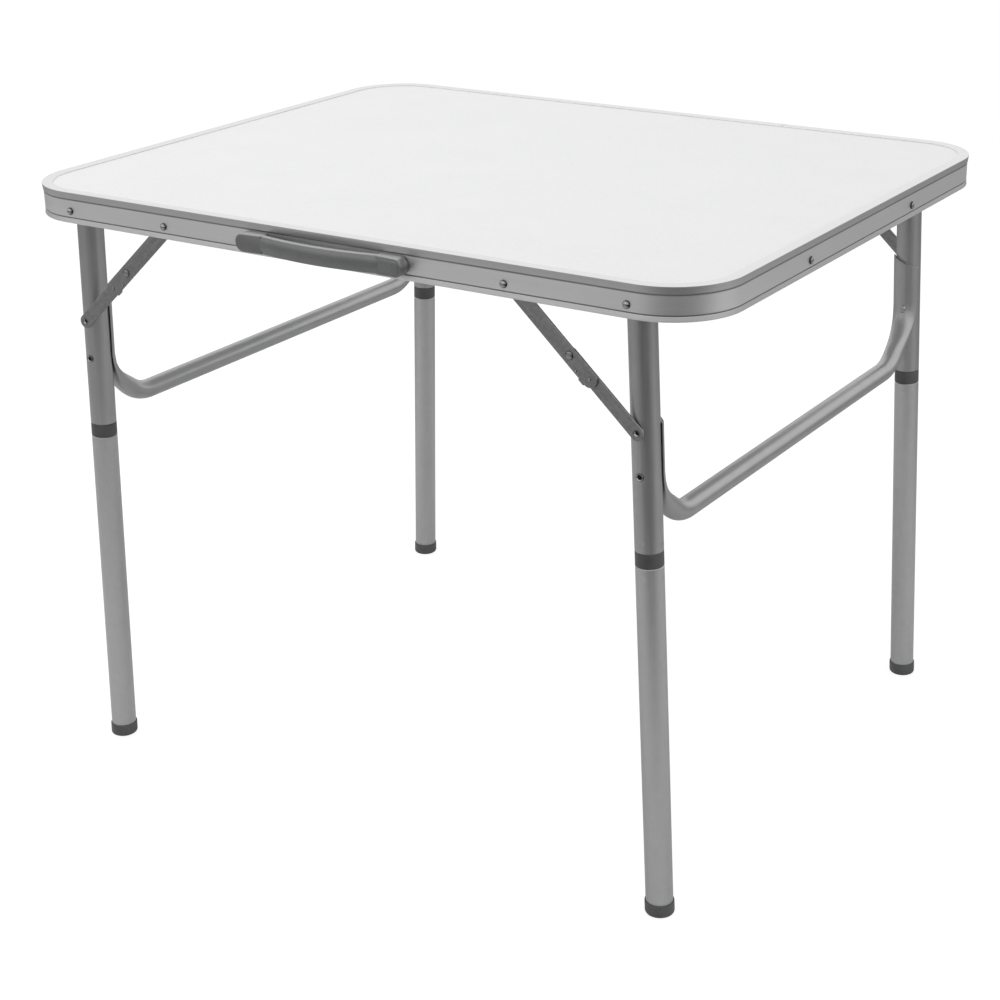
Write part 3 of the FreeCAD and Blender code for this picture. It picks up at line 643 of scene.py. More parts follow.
def domedHead(radius, height):
    steps, foot = hardware["domeSteps"], hardware["domeFoot"]
    gain, shade = hardware["domeShade"]
    profile, shadeTones = [(0, 0), (radius, 0)], [0, 0]
    for step in range(steps + 1):
        turn = math.pi / 2 * step / steps
        profile.append((radius * math.cos(turn), height * (foot + (1 - foot) * math.sin(turn))))
        shadeTones.append(smoothStep(step / steps * gain - shade))   # painted shade round the rim
    profile[-1] = (0, height)
    return lathe(profile, segments=32, shadeTones=shadeTones)


def tailHead(radius, height, skirt=0):
    # the spread end of a rivet, with the dimple its tool leaves
    spread = sizedShape(hardware["tailShape"], radius, height)
    return lathe([(0, -skirt), (radius, -skirt)] + spread, segments=32)


def plainShank(radius):
    return lathe([(0, 0), (radius, 0), (radius, 1), (0, 1)], segments=24)


def hexNut(radius, height):
    return lathe([(0, 0)] + sizedShape(hardware["nutShape"], radius, height), segments=6)


def pipeRing(inner, outer, length, rim):
    outline = [(inner, 0), (outer, 0), (outer, length), (inner, length)]
    return turnedLoop(outline, [hardware["boreRim"], rim, rim, hardware["boreRim"]], steps=3, segments=36)


bandFace = {"front": railLow.y + railSizes["bandRecess"], "back": railHigh.y - railSizes["bandRecess"]}
heads, shanks, tails, nuts = [], [], [], []
spreadTails = {"leg_pivot_rivets": True, "brace_pivot_rivets": False, "rail_splice_rivets": True}
for node, hasTail in spreadTails.items():
    for low, high in solidBoxes(node):
        middle = (low + high) / 2
        end = endOf(middle)
        place = Vector((middle.x, bandFace[end], middle.z))
        tip = high.y if end == "front" else low.y
        heads.append((place, -inward[end], 1))
        shanks.append((place, inward[end], abs(tip - place.y)))
        if hasTail:
            seat = Vector((middle.x, tip, middle.z)) - inward[end] * hardware["tailHeight"]
            tails.append((seat, inward[end], 1))
for low, high in solidBoxes("board_screws"):
    middle = (low + high) / 2
    outward = alongX if middle.x > 0 else -alongX
    tip = low.x if middle.x > 0 else high.x
    face = outward.x * (railHigh.x - railSizes["bandRecess"])
    place = Vector((face, middle.y, middle.z))
    heads.append((place, outward, 1))
    shanks.append((place, -outward, abs(tip - face)))
    nuts.append((Vector((tip, middle.y, middle.z)) + outward * hardware["tailHeight"], -outward, 1))
for low, high in solidBoxes("handle_screws"):
    middle = (low + high) / 2
    seat = Vector((middle.x, railLow.y + railSizes["webDepth"], middle.z))
    tails.append((seat, inward["front"], 1))
    shanks.append((seat, -inward["front"], seat.y - low.y))
railRivets = joinMeshes([
    setOut(domedHead(hardware["domeRadius"], hardware["domeHeight"]), heads, rivetFinish),
    setOut(plainShank(hardware["shankRadius"]), shanks, rivetFinish),
    setOut(tailHead(hardware["tailRadius"], hardware["tailHeight"]), tails, rivetFinish),
    setOut(hexNut(hardware["tailRadius"], hardware["tailHeight"]), nuts, rivetFinish),
])
settle("railRivets", railRivets, "table_top", [*spreadTails, "board_screws", "handle_screws"],
       rivetFinish)

spacerNodes = ["leg_pivot_spacers", "brace_pivot_spacers"]
spacerMeshes = []
for node in spacerNodes:
    boxes = solidBoxes(node)
    length = boxes[0][1].y - boxes[0][0].y
    spots = []
    for low, high in boxes:
        middle = (low + high) / 2
        toMiddle = inward[endOf(middle)]
        spots.append((middle - toMiddle * length / 2, toMiddle, 1))
    ring = pipeRing(hardware["boreRadius"], hardware["spacerRadius"], length, hardware["rim"])
    spacerMeshes.append(setOut(ring, spots, spacerFinish))
settle("pivotSpacers", joinMeshes(spacerMeshes), "table_top", spacerNodes, spacerFinish)


# Splice plate and angle brackets inside the rail

plates = {
    "rim": 0.45 * mm, "bracketThick": 1.5 * mm, "bendRadius": 2.5 * mm, "bracketEdge": 0.2 * mm,
    "spliceCorner": 2 * mm,
}

spliceLow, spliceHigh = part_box("rail_splice")
spliceSize = spliceHigh - spliceLow
half = Vector((spliceSize.x / 2, spliceSize.z / 2))
spliceMesh = flatPlate([roundedRectangle(-half, half, plates["spliceCorner"])], spliceSize.y, plates["rim"])
standUp(spliceMesh, (spliceLow + spliceHigh) / 2, alongX, upwards)
settle("railSplice", spliceMesh, "table_top", ["rail_splice"], strapFinish)

bracketMeshes = []
for low, high in solidBoxes("board_brackets"):
    size = high - low
    thick, bend, edge = plates["bracketThick"], plates["bendRadius"], plates["bracketEdge"]
    corners = [(0, 0), (size.x, 0), (size.x, -thick), (thick, -thick), (thick, -size.z), (0, -size.z)]
    outline = roundCorners(corners, [bend, edge, edge, bend - thick, edge, edge])
    isLeft = low.x < 0
    mesh = flatPlate([outline], size.y, plates["rim"])
    corner = Vector((low.x if isLeft else high.x, (low.y + high.y) / 2, high.z))
    standUp(mesh, corner, alongX if isLeft else -alongX, upwards)
    bracketMeshes.append(mesh)
settle("boardBrackets", joinMeshes(bracketMeshes), "table_top", ["board_brackets"],
       strapFinish)
print("rail hardware made")


# Carrying handle

handle = {
    "thick": 5.5 * mm, "heightTrim": 0.2 * mm, "rounding": 1.3 * mm, "crown": 1.1 * mm, "crownSteps": 9,
    "bow": 6.5 * mm, "tuck": 1.5 * mm, "steps": 40,
    "capRim": 1.3 * mm, "capTrim": 0.1 * mm, "capSteps": 14, "innerCorner": 0.9 * mm, "taper": 2.1 * mm,
    "panelInset": 3.4 * mm, "panelRise": 0.35 * mm, "panelSunk": 1 * mm, "panelRounding": 0.6,
}
gripLow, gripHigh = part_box("handle_grip")
halfThick = handle["thick"] / 2
halfHigh = (gripHigh.z - gripLow.z) / 2 - handle["heightTrim"]


def gripPath():
    # an arc from inside one cap to inside the other
    mouth = -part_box("handle_end_left")[1].x
    bowRadius = (mouth ** 2 + handle["bow"] ** 2) / (2 * handle["bow"])
    path = []
    for step in range(handle["steps"] + 1):
        x = (mouth + handle["tuck"]) * (2 * step / handle["steps"] - 1)
        sag = bowRadius - math.sqrt(bowRadius ** 2 - x ** 2)
        path.append((x, gripLow.y + halfThick + sag, (gripLow.z + gripHigh.z) / 2))
    return path


def gripSection():
    # a rounded strap with a crowned outer face
    crown, count = handle["crown"], handle["crownSteps"]
    strap = roundedRectangle((-halfThick, -halfHigh), (halfThick - crown, halfHigh), handle["rounding"])
    crownStart = handle["rounding"] - halfHigh
    crownLine = []
    for step in range(1, count):
        y = crownStart * (1 - 2 * step / count)
        crownLine.append(Vector((halfThick - crown * (y / crownStart) ** 2, y)))
    frontAt = len(strap) // 2   # between the two rounded corners on the outward side
    return strap[:frontAt] + crownLine + strap[frontAt:]


settle("handleGrip", sweepAlong(gripPath(), gripSection(), handleFinish), "table_top", ["handle_grip"],
       handleFinish)

for name, side in sideSigns.items():
    low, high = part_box(f"handle_end_{name}")
    middle = (low + high) / 2
    half = Vector(((high.x - low.x) / 2, (high.z - low.z) / 2))
    roundEnd = half.y - handle["capTrim"]
    square = handle["innerCorner"]
    radii = [roundEnd, square, square, roundEnd] if side < 0 else [square, roundEnd, roundEnd, square]
    capEdge = roundedRectangle(-half, half, radii, steps=handle["capSteps"])
    pressed = [standUp(flatPlate([capEdge], high.y - low.y, handle["capRim"]), middle, alongX, upwards)]
    if side > 0:   # a raised panel on the right cap only
        rise = handle["panelRise"]
        panelHalf = half - Vector((handle["panelInset"], handle["panelInset"]))
        panelThick = 2 * rise + handle["panelSunk"]
        panelEdge = roundedRectangle(-panelHalf, panelHalf, panelHalf.y * handle["panelRounding"])
        face = Vector((middle.x, low.y - rise + panelThick / 2, middle.z))
        pressed.append(standUp(flatPlate([panelEdge], panelThick, rise), face, alongX, upwards))
    outer, inner = (low.x, high.x) if side < 0 else (high.x, low.x)
    for mesh in pressed:
        for vert in mesh.vertices:   # the face slopes back to lie flush with the grip
            share = smoothStep((outer - vert.co.x) / (outer - inner))
            front = (high.y - vert.co.y) / (high.y - low.y)
            vert.co.y += handle["taper"] * share * front
    settle(f"handleEnd{name.title()}", joinMeshes(pressed), "table_top", [f"handle_end_{name}"],
           handleFinish)
print("handle made")


# Leg frames

legs = {
    "tubeRadius": 12.5 * mm, "tubeWall": 1.2 * mm, "edge": 0.4 * mm, "around": 96,
    "rise": 5 * mm, "upperLength": 220 * mm, "ringHeight": 13.5 * mm, "jointGap": 0.1 * mm, "fit": 0.05 * mm,
    "grip": 50 * mm, "ringRim": 0.7 * mm, "boreRim": 0.8 * mm, "sleeveRim": 0.5 * mm,
    "plugDepth": 18 * mm, "plugLip": 2 * mm, "plugDish": 1 * mm, "plugRim": 0.6 * mm, "dishRim": 0.3 * mm,
    "pinRadius": 8 * mm, "pinLength": 42 * mm, "pinNose": (1.2 * mm, 2 * mm), "pinRim": 0.6 * mm,
    "spigotGrip": 35 * mm, "ribs": (0.3, 0.45, 0.6), "ribWidth": 2.4 * mm, "ribEdge": 0.6 * mm,
    "ribDepth": 0.3 * mm, "crimpDrop": 9 * mm, "crimpWidth": 1.9 * mm, "crimpDepth": 0.7 * mm,
}
footSizes = {
    "wall": 1 * mm, "height": 13 * mm, "rounding": 3 * mm, "lip": 0.5 * mm, "innerRim": 0.2 * mm,
    "seatGap": 0.35 * mm, "soleThick": 4 * mm, "soleGap": 0.6 * mm,
}
foldPoint = {name: Vector(joints[f"{name}_fold"]["pos_m"]) for name in sideSigns}
slideAxis = joints["left_front_leg_end_slide"]["axis"]
splay = math.atan2(abs(slideAxis[0]), abs(slideAxis[2]))
legReach = foldPoint["left"].z / math.cos(splay)
ringFloor = -(legs["upperLength"] + legs["ringHeight"])
lowerTop = ringFloor - legs["jointGap"]
tubeFoot = -(legReach - footSizes["soleThick"])
bore = legs["tubeRadius"] - legs["tubeWall"]
plugRadius = bore - legs["fit"]


def legY(end):
    low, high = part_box(f"left_{end}_foot")
    return (low.y + high.y) / 2


def leanMatrix(name, y):
    # from upright about the origin to the frame's lean about its fold pivot
    pivot = foldPoint[name]
    return Matrix.Translation((pivot.x, y, pivot.z)) @ Matrix.Rotation(-sideSigns[name] * splay, 4, "Y")


def tubeMesh(low, high, crimpLevel):
    outer, edge = legs["tubeRadius"], legs["edge"]
    outerWall = [(outer, level) for level in spacedLevels(low + edge, high - edge, [crimpLevel])]
    loop = [(bore, low), (outer - edge, low)] + outerWall + [(outer - edge, high), (bore, high)]
    facings = [math.pi / 2 * turn for turn in range(4)]
    dimples = [(crimpLevel, facing, legs["crimpWidth"], legs["crimpDepth"]) for facing in facings]
    return lathe(loop, closed=True, segments=legs["around"], dimples=dimples)


def socketMesh():
    outer, ringTop = legs["tubeRadius"], -legs["upperLength"]
    inner = legs["pinRadius"] + legs["fit"]
    sleeveTop = ringTop + legs["grip"]
    boreRim, ringRim = legs["boreRim"], legs["ringRim"]
    outline = [(inner, ringFloor), (outer, ringFloor), (outer, ringTop),
               (plugRadius, ringTop), (plugRadius, sleeveTop), (inner, sleeveTop)]
    return turnedLoop(outline, [boreRim, ringRim, ringRim, 0, boreRim, legs["sleeveRim"]])


def plugMesh():
    top, floor = legs["rise"], -legs["plugDepth"]
    lip = plugRadius - legs["plugLip"]
    dish = legs["plugDish"]
    outline = [(0, floor), (plugRadius, floor), (plugRadius, top), (lip, top), (lip - dish, top - dish),
               (0, top - dish)]
    radii = [0, legs["plugRim"], legs["plugRim"], legs["dishRim"], legs["dishRim"], 0]
    return turnedLoop(outline, radii, closed=False)


def spigotMesh():
    pin, edge, width = legs["pinRadius"], legs["ribEdge"], legs["ribWidth"]
    top, floor = lowerTop + legs["pinLength"], lowerTop - legs["spigotGrip"]
    outline = [(0, floor), (plugRadius, floor), (plugRadius, lowerTop), (pin, lowerTop)]
    radii = [0, legs["boreRim"], legs["sleeveRim"], 0]
    for share in legs["ribs"]:
        level = lowerTop + share * legs["pinLength"]
        for lift, sunk in ((0, 0), (edge, 1), (width - edge, 1), (width, 0)):
            outline.append((pin - sunk * legs["ribDepth"], level + lift))
            radii.append(0)
    noseIn, noseDrop = legs["pinNose"]
    outline += [(pin, top - noseDrop), (pin - noseIn, top), (0, top)]
    radii += [legs["pinRim"], legs["pinRim"], 0]
    return turnedLoop(outline, radii, closed=False)


def footMesh(name, end):
    s = footSizes
    outer = legs["tubeRadius"] + s["wall"]
    inner = legs["tubeRadius"] + s["seatGap"]
    floor = s["soleThick"] - s["soleGap"]
    outline = [(0, 0), (outer, 0), (outer, s["height"]), (inner, s["height"]), (inner, floor), (0, floor)]
    mesh = turnedLoop(outline, [0, s["rounding"], s["lip"], s["innerRim"], s["innerRim"], 0], closed=False)
    low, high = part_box(f"{name}_{end}_foot")
    lean = Matrix.Identity(4)   # the cup follows the leaning tube, and its sole stays level
    lean[0][2] = -sideSigns[name] * math.tan(splay)
    mesh.transform(Matrix.Translation(((low.x + high.x) / 2, (low.y + high.y) / 2, 0)) @ lean)
    return mesh


for name in sideSigns:
    for end in ends:
        key = f"{name}_{end}"
        upper, lower = f"{name}_frame", f"{key}_leg_end"
        ringTop, drop = -legs["upperLength"], legs["crimpDrop"]
        upperTube = tubeMesh(ringTop, legs["rise"], ringTop + drop)
        lowerTube = tubeMesh(tubeFoot, lowerTop, lowerTop - drop)
        pieces = [
            ("UpperLeg", upperTube, upper, "upper_leg", "tube_aluminium", upperTubeFinish),
            ("LegPlug", plugMesh(), upper, "leg_plug", "dark_plastic", collarFinish),
            ("LegSocket", socketMesh(), upper, "leg_socket", "dark_plastic", collarFinish),
            ("LowerLeg", lowerTube, lower, "lower_leg", "tube_aluminium", lowerTubeFinish),
            ("LegSpigot", spigotMesh(), lower, "leg_spigot", "dark_plastic", collarFinish),
            ("Foot", footMesh(name, end), lower, "foot", "foot_plastic", footFinish),
        ]
        for label, mesh, body, node, slot, finish in pieces:
            if node != "foot":   # the foot is in its place already
                mesh.transform(leanMatrix(name, legY(end)))
            settle(f"{name}{end.title()}{label}", mesh, body, [f"{key}_{node}"], finish)
print("legs made")


# Cross tubes: a bent tube whose upright ends are crushed around the legs

cross = {
    "radius": 9.5 * mm, "drop": 205 * mm, "bend": 45 * mm, "crushLow": 195 * mm, "crushHigh": 151 * mm,
    "saddleGap": 0.1 * mm, "saddleThick": 2.6 * mm, "saddleHalfAngle": math.radians(68), "saddleFlat": 8,
    "top": 102 * mm, "slope": math.radians(24), "rivetDrop": 151 * mm,
    "around": 56, "bendSteps": 28, "plateSteps": 6, "straightShares": (0.1, 0.3, 0.5, 0.7, 0.9),
}
legOffset = legY("back") - centreY
saddleInner = legs["tubeRadius"] + cross["saddleGap"]
saddleOuter = saddleInner + cross["saddleThick"]
uprightY = legOffset - saddleInner - cross["radius"]
ringTurns = [2 * math.pi * step / cross["around"] for step in range(cross["around"])]


def saddleSpot(turn, end):
    # a point on the crushed section, which hugs the leg
    wide = cross["saddleHalfAngle"] * math.cos(turn)
    swell = math.sqrt(max(0.0, 1 - math.cos(turn) ** cross["saddleFlat"])) * cross["saddleThick"] / 2
    reach = saddleInner + cross["saddleThick"] / 2 - math.copysign(swell, math.sin(turn))
    return reach * math.sin(wide), end * (legOffset - reach * math.cos(wide))


def crushedRing(side, end, level, angle, slanted):
    # a ring of the tube at this level, which the crush turns from round to a saddle
    reached = (level + cross["crushLow"]) / (cross["crushLow"] - cross["crushHigh"])
    squeeze = smoothStep(reached)
    middleY = uprightY - cross["bend"] * (1 - math.cos(angle))
    ring = []
    for turn in ringTurns:
        reach = cross["radius"] * math.sin(turn)
        roundSpot = Vector((cross["radius"] * math.cos(turn), end * (middleY + reach * math.cos(angle)),
                            level - reach * math.sin(angle)))
        flatX, flatY = saddleSpot(turn, end)
        flatSpot = Vector((flatX, flatY, level - slanted * side * flatX * math.tan(cross["slope"])))
        ring.append(roundSpot.lerp(flatSpot, squeeze))
    return ring


def halfStations(side, end):
    # rings from the bend's low end out to the saddle's slanted top
    bend, low = cross["bend"], -cross["drop"]
    stations = []
    for step in range(cross["bendSteps"] + 1):
        angle = math.pi / 2 * (1 - step / cross["bendSteps"])
        stations.append(crushedRing(side, end, low + bend * (1 - math.sin(angle)), angle, 0))
    for step in range(1, cross["plateSteps"] + 1):
        share = step / cross["plateSteps"]
        stations.append(crushedRing(side, end, (low + bend) * (1 - share) - cross["top"] * share, 0, share))
    return stations


def crossTubeMesh(name):
    side, radius, count = sideSigns[name], cross["radius"], cross["around"]
    stations = list(reversed(halfStations(side, -1)))
    for share in cross["straightShares"]:
        y = (uprightY - cross["bend"]) * (2 * share - 1)
        stations.append([Vector((radius * math.cos(turn), y, -cross["drop"] - radius * math.sin(turn)))
                         for turn in ringTurns])
    stations += halfStations(side, 1)
    middles = [sum(ring, Vector()) / count for ring in stations]
    run = 0.0
    grain = []
    for before, middle in zip(middles[:1] + middles, middles):
        run += (middle - before).length
        grain += [(radius * math.cos(turn), radius * math.sin(turn), run) for turn in ringTurns]
    rings = [range(index * count, (index + 1) * count) for index in range(len(stations))]
    faces = bridgeRings(rings)
    for ring in (rings[0], rings[-1]):
        for step in range(count // 2):   # the closed top edge, inner arc to outer arc
            corners = [ring[step], ring[step + 1], ring[count - step - 1], ring[(count - step) % count]]
            faces.append(list(dict.fromkeys(corners)))
    mesh = newMesh("crossTube", [place for ring in stations for place in ring], faces=faces)
    storeVectors(mesh, "grain", grain)
    tidyMesh(mesh)
    mesh.transform(leanMatrix(name, foldPoint[name].y))
    return mesh


eyelet = {   # on the leg, and a flat one on the strap's pin
    "radius": 3.7 * mm, "height": 0.8 * mm, "hole": 2.3 * mm, "floor": 0.12 * mm, "stem": 3 * mm,
    "pinRadius": 3.515 * mm, "pinHeight": 0.1 * mm, "pinHole": 1.6 * mm, "pinFloor": -1.2 * mm,
    "rimShape": [(1, 0.5), (0.9, 1), (0.8, 1)], "holeShare": 0.94,
    # painted shade per outline point, from 0 dark to 1 the metal's own tone
    "shadeTones": [0, 0, 0, 0, 0.1, 0.5, 1, 0.8, 0, 0],
}
washer = {"radius": 6 * mm, "thick": 0.8 * mm, "rim": 0.2 * mm, "drop": 112 * mm}


def eyeletHead(radius, height, skirt, hole, floor):
    # a tubular rivet: a stem, a rolled rim, a funnel and a hole, with painted shade on the rim's outer edge
    # and darkest in the hole, and the funnel left in the metal's own tone
    shank, stem = hardware["shankRadius"], -eyelet["stem"]
    outline = [(0, stem), (shank, stem), (shank, -skirt), (radius, -skirt)]
    outline += sizedShape(eyelet["rimShape"], radius, height)
    outline += [(hole, floor), (eyelet["holeShare"] * hole, floor), (0, floor)]
    return lathe(outline, segments=32, shadeTones=eyelet["shadeTones"])


for name in sideSigns:
    body = f"{name}_frame"
    settle(f"{name}CrossTube", crossTubeMesh(name), body, [f"{name}_cross_tube"],
           crossTubeFinish)
    rims, knobs, strapRims, washers = [], [], [], []
    rivetLevel, washerLevel = -upwards * cross["rivetDrop"], -upwards * washer["drop"]
    for end in ends:
        matrix = leanMatrix(name, legY(end))
        out = -inward[end]
        tubeFace = out * legs["tubeRadius"]
        strapLow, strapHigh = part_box(f"{name}_{end}_lower_brace")
        strapFace = strapLow.y if end == "front" else strapHigh.y
        pin = Vector(joints[f"{name}_{end}_lower_strap_pivot"]["pos_m"])
        rims.append((matrix @ (tubeFace + rivetLevel), out, 1))
        knobs.append((matrix @ (rivetLevel - out * saddleOuter), -out, 1))
        strapRims.append((Vector((pin.x, strapFace, pin.z)), out, 1))
        washers.append((matrix @ (tubeFace + washerLevel), out, 1))
    skirt = hardware["skirt"]
    legEyelet = eyeletHead(eyelet["radius"], eyelet["height"], skirt, eyelet["hole"], eyelet["floor"])
    pinEyelet = eyeletHead(eyelet["pinRadius"], eyelet["pinHeight"], 0, eyelet["pinHole"], eyelet["pinFloor"])
    knob = tailHead(hardware["tailRadius"], hardware["tailHeight"], skirt)
    ring = pipeRing(hardware["boreRadius"], washer["radius"], washer["thick"], washer["rim"])
    parts = ((legEyelet, rims), (knob, knobs), (pinEyelet, strapRims), (ring, washers))
    frameRivets = joinMeshes([setOut(part, spots, rivetFinish) for part, spots in parts])
    rivetNodes = [f"{name}_{node}" for node in ("cross_rivets", "brace_leg_rivets", "brace_washers")]
    settle(f"{name}FrameRivets", frameRivets, body, rivetNodes, rivetFinish)
print("cross tubes made")


# Folding braces

brace = {
    "upperWidth": 15 * mm, "lowerWidth": 13 * mm, "tail": 26 * mm, "rim": 0.45 * mm, "hole": 2.55 * mm,
    "steps": 12, "tabLength": 7 * mm, "tabReach": 1.3 * mm, "tabRounding": 0.8 * mm,
    "headRadius": 4 * mm, "headHeight": 1 * mm, "pipHeight": 0.6 * mm,
    "pips": [(26 * mm, 0, 1.9 * mm), (13 * mm, 5.2 * mm, 1.3 * mm)],   # along, across, radius
}


def strapMesh(reach, width, thick, tail=0, tab=()):
    # from its pin hole at 0 to the middle pivot's hole, with a round end past each or a tail past the second
    r = width / 2
    arc = [math.pi * step / brace["steps"] for step in range(brace["steps"], -1, -1)]
    edge = [Vector((-r * math.sin(turn), -r * math.cos(turn))) for turn in arc]
    edge += [Vector((reach + tail + r * math.sin(turn), r * math.cos(turn))) for turn in arc]
    holes = [circlePoints(x, 0, brace["hole"]) for x in (0, reach)]
    return flatPlate([edge + list(tab)] + holes, thick, brace["rim"])


def tabEdge(reach):
    # the lock tab on the lower edge of the upper strap's tail
    low, high = brace["upperWidth"] / 2, brace["upperWidth"] / 2 + brace["tabReach"]
    start, stop = reach + brace["tail"] - brace["tabLength"], reach + brace["tail"]
    corners = [(stop, low), (stop, high), (start, high), (start, low)]
    radii = [0, brace["tabRounding"], brace["tabRounding"], 0]
    return roundCorners(corners, radii, closed=False, steps=4)[1:]


for name, side in sideSigns.items():
    for end in ends:
        key = f"{name}_{end}"
        title = f"{name}{end.title()}"
        rivetLow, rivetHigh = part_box(f"{key}_brace_rivet")
        middle = (rivetLow + rivetHigh) / 2
        pins = {part: Vector(joints[f"{key}_{part}_strap_pivot"]["pos_m"]) for part in ("upper", "lower")}
        reach = {part: math.hypot(middle.x - pin.x, middle.z - pin.z) for part, pin in pins.items()}
        slope = pins["lower"] - pins["upper"]
        slope = Vector((slope.x, 0, slope.z)).normalized()
        under = Vector((-side * abs(slope.z), 0, -abs(slope.x)))   # towards the strap's lower edge
        upperLow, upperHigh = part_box(f"{key}_upper_brace")
        thick = upperHigh.y - upperLow.y
        tab = tabEdge(reach["upper"])
        straps = {
            "upper": (strapMesh(reach["upper"], brace["upperWidth"], thick, brace["tail"], tab), slope),
            "lower": (strapMesh(reach["lower"], brace["lowerWidth"], thick), -slope),
        }
        for part, (mesh, along) in straps.items():
            low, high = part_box(f"{key}_{part}_brace")
            standUp(mesh, Vector((pins[part].x, (low.y + high.y) / 2, pins[part].z)), along, under)
            settle(f"{title}{part.title()}Brace", mesh, f"{key}_{part}_strap", [f"{key}_{part}_brace"],
                   strapFinish)

        out = -inward[end]
        spot = Vector((middle.x, upperLow.y if end == "front" else upperHigh.y, middle.z))
        shankLength = rivetHigh.y - rivetLow.y - brace["headHeight"]
        parts = [(domedHead(radius, brace["pipHeight"]), (spot + slope * along + under * across, out, 1))
                 for along, across, radius in brace["pips"]]   # pressed studs near the strap's end
        parts.append((domedHead(brace["headRadius"], brace["headHeight"]), (spot, out, 1)))
        parts.append((plainShank(hardware["shankRadius"]), (spot, -out, shankLength)))
        rivetMesh = joinMeshes([setOut(part, [place], rivetFinish) for part, place in parts])
        settle(f"{title}BraceRivet", rivetMesh, f"{key}_upper_strap", [f"{key}_brace_rivet"],
               rivetFinish)
print("braces made")


# Studio

studio = {
    # floorNear, floorFar and the wedge are painted reflection tones: a painted light pool near the table and
    # a dark patch that only reflections and bounced light see
    "floorSize": 60.0, "floorDrop": 0.1 * mm, "floorNear": 0.72, "floorFar": 0.5, "nearReach": (0.7, 1.4),
    "floorCatch": 0.28, "floorGlow": 0.86,
    "wedgeTone": 0.03, "wedgeAhead": (0.537, -0.844, 0), "wedgeAside": (0.844, 0.537, 0), "wedgeShift": 0.25,
    "wedgeStart": (0.9, 1.35), "wedgeEdge": (0.3, 1.3),
    "skyFall": 0.5, "skySeen": 1.0,
    "lamps": [   # name, place, aim, size, power
        ("overheadBox", (-0.3, -0.2, 2.4), (0, 0, 0.59), (3.0, 2.3), 21.5),
        ("leftBox", (-1.9, -0.6, 0.8), (0, 0, 0.35), (0.8, 1.3), 8),
        ("rightBox", (2.0, 0.3, 0.8), (0, 0, 0.35), (0.8, 1.3), 8),
    ],
}
camera = {
    "azimuth": 32.45, "elevation": 20.97, "roll": -0.75, "target": (42.25 * mm, centreY - 4.7 * mm, 300 * mm),
    "distance": 2.07724, "lens": 73.365, "shift": (-0.05, -0.05),
}


def addVectorMath(tree, operation, vector, direction=(0, 0, 0)):
    node = addNode(tree, "ShaderNodeVectorMath", {0: vector, 1: direction}, operation=operation)
    return node.outputs["Value"]


def paintedReflectionTone(tree):
    # painted reflection and painted light pool: the floor's tone as reflections and bounced light see it,
    # paler near the table and darker in a wedge in front of it, which the tubes and the corner mirror
    place = addNode(tree, "ShaderNodeTexCoord").outputs["Object"]
    ahead = addVectorMath(tree, "DOT_PRODUCT", place, studio["wedgeAhead"])
    aside = addVectorMath(tree, "DOT_PRODUCT", place, studio["wedgeAside"])
    offset = addMath(tree, "ABSOLUTE", addMath(tree, "SUBTRACT", aside, studio["wedgeShift"]))
    slant = addMath(tree, "DIVIDE", offset, addMath(tree, "MAXIMUM", ahead, studio["wedgeStart"][0]))
    begun = addRange(tree, ahead, 0, 1, *studio["wedgeStart"])
    within = addRange(tree, slant, 1, 0, *studio["wedgeEdge"])
    wedge = addMath(tree, "MULTIPLY", begun, within)
    far = addRange(tree, addVectorMath(tree, "LENGTH", place), 0, 1, *studio["nearReach"])
    plain = addMix(tree, far, studio["floorNear"], studio["floorFar"])
    return addMix(tree, wedge, plain, studio["wedgeTone"])


def mixShaders(tree, share, first, second):
    return addNode(tree, "ShaderNodeMixShader", {0: share, 1: first, 2: second}).outputs[0]


def emptyTree(holder):
    holder.use_nodes = True
    holder.node_tree.nodes.clear()
    return holder.node_tree


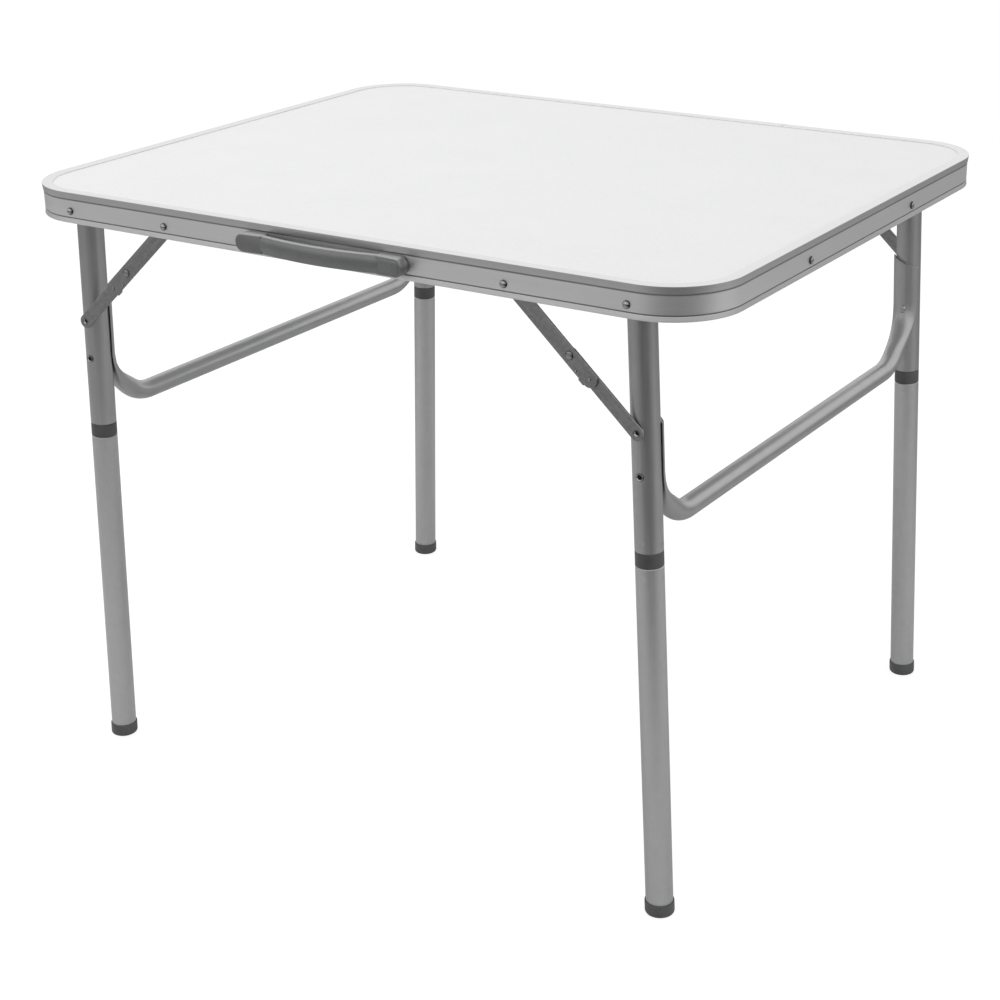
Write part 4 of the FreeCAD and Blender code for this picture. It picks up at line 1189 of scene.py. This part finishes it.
def makeFloor():
    reach, level = studio["floorSize"] / 2, -studio["floorDrop"]   # a hair under the soles
    corners = [(-reach, -reach, level), (reach, -reach, level), (reach, reach, level), (-reach, reach, level)]
    mesh = newMesh("floor", corners, faces=[(0, 1, 2, 3)])
    finish = bpy.data.materials.new("paleFloor")
    tree = emptyTree(finish)
    # reflections and bounced light see the painted reflection tone, and the camera sees the glow
    bounce = addNode(tree, "ShaderNodeBsdfDiffuse", {"Color": paintedReflectionTone(tree)})
    catch = addNode(tree, "ShaderNodeBsdfDiffuse", {"Color": asColour(studio["floorCatch"])})
    glow = addNode(tree, "ShaderNodeEmission", {"Strength": studio["floorGlow"]})
    seen = addNode(tree, "ShaderNodeAddShader", {0: catch.outputs[0], 1: glow.outputs[0]})
    looking = addNode(tree, "ShaderNodeLightPath").outputs["Is Camera Ray"]
    above = mixShaders(tree, looking, bounce.outputs[0], seen.outputs[0])
    backface = addNode(tree, "ShaderNodeNewGeometry").outputs["Backfacing"]
    clear = addNode(tree, "ShaderNodeBsdfTransparent")   # from below, the floor is not there
    surface = mixShaders(tree, backface, above, clear.outputs[0])
    addNode(tree, "ShaderNodeOutputMaterial", {"Surface": surface})
    mesh.materials.append(finish)
    floor = addObject("floor", mesh)


def makeSky():
    # one strength where the eye, a mirror or glass looks, and another for the light that falls on things
    world = bpy.data.worlds.new("paleSky")
    tree = emptyTree(world)
    path = addNode(tree, "ShaderNodeLightPath").outputs
    looking = addMath(tree, "MAXIMUM", path["Is Camera Ray"], path["Is Glossy Ray"])
    looking = addMath(tree, "MAXIMUM", looking, path["Is Transmission Ray"])
    fall, seen = [addNode(tree, "ShaderNodeBackground", {"Color": asColour(1), "Strength": studio[key]})
                  for key in ("skyFall", "skySeen")]
    sky = mixShaders(tree, looking, fall.outputs[0], seen.outputs[0])
    addNode(tree, "ShaderNodeOutputWorld", {"Surface": sky})
    bpy.context.scene.world = world


def makeLamps():
    for name, place, aim, size, power in studio["lamps"]:
        light = bpy.data.lights.new(name, "AREA")
        light.shape = "RECTANGLE"
        light.size, light.size_y = size
        light.energy = power
        lamp = addObject(name, light)
        lamp.location = place
        lamp.rotation_euler = (Vector(aim) - Vector(place)).to_track_quat("-Z", "Y").to_euler()
        lamp.visible_camera = False
        lamp.visible_glossy = False


def makeCamera():
    az, el, roll = (math.radians(camera[key]) for key in ("azimuth", "elevation", "roll"))
    back = Vector((math.sin(az) * math.cos(el), -math.cos(az) * math.cos(el), math.sin(el)))
    right = (-back).cross(upwards).normalized()
    up = right.cross(-back)
    tiltedRight = math.cos(roll) * right + math.sin(roll) * up
    tiltedUp = math.cos(roll) * up - math.sin(roll) * right
    eye = bpy.data.cameras.new("photoView")
    eye.lens = camera["lens"]
    eye.shift_x, eye.shift_y = camera["shift"]
    view = addObject("photoView", eye)
    turn = Matrix((tiltedRight, tiltedUp, back)).transposed().to_4x4()
    view.matrix_world = Matrix.Translation(Vector(camera["target"]) + back * camera["distance"]) @ turn
    bpy.context.scene.camera = view


makeFloor()
makeSky()
makeLamps()
makeCamera()
bpy.context.scene.view_settings.view_transform = "Standard"
print("studio made")
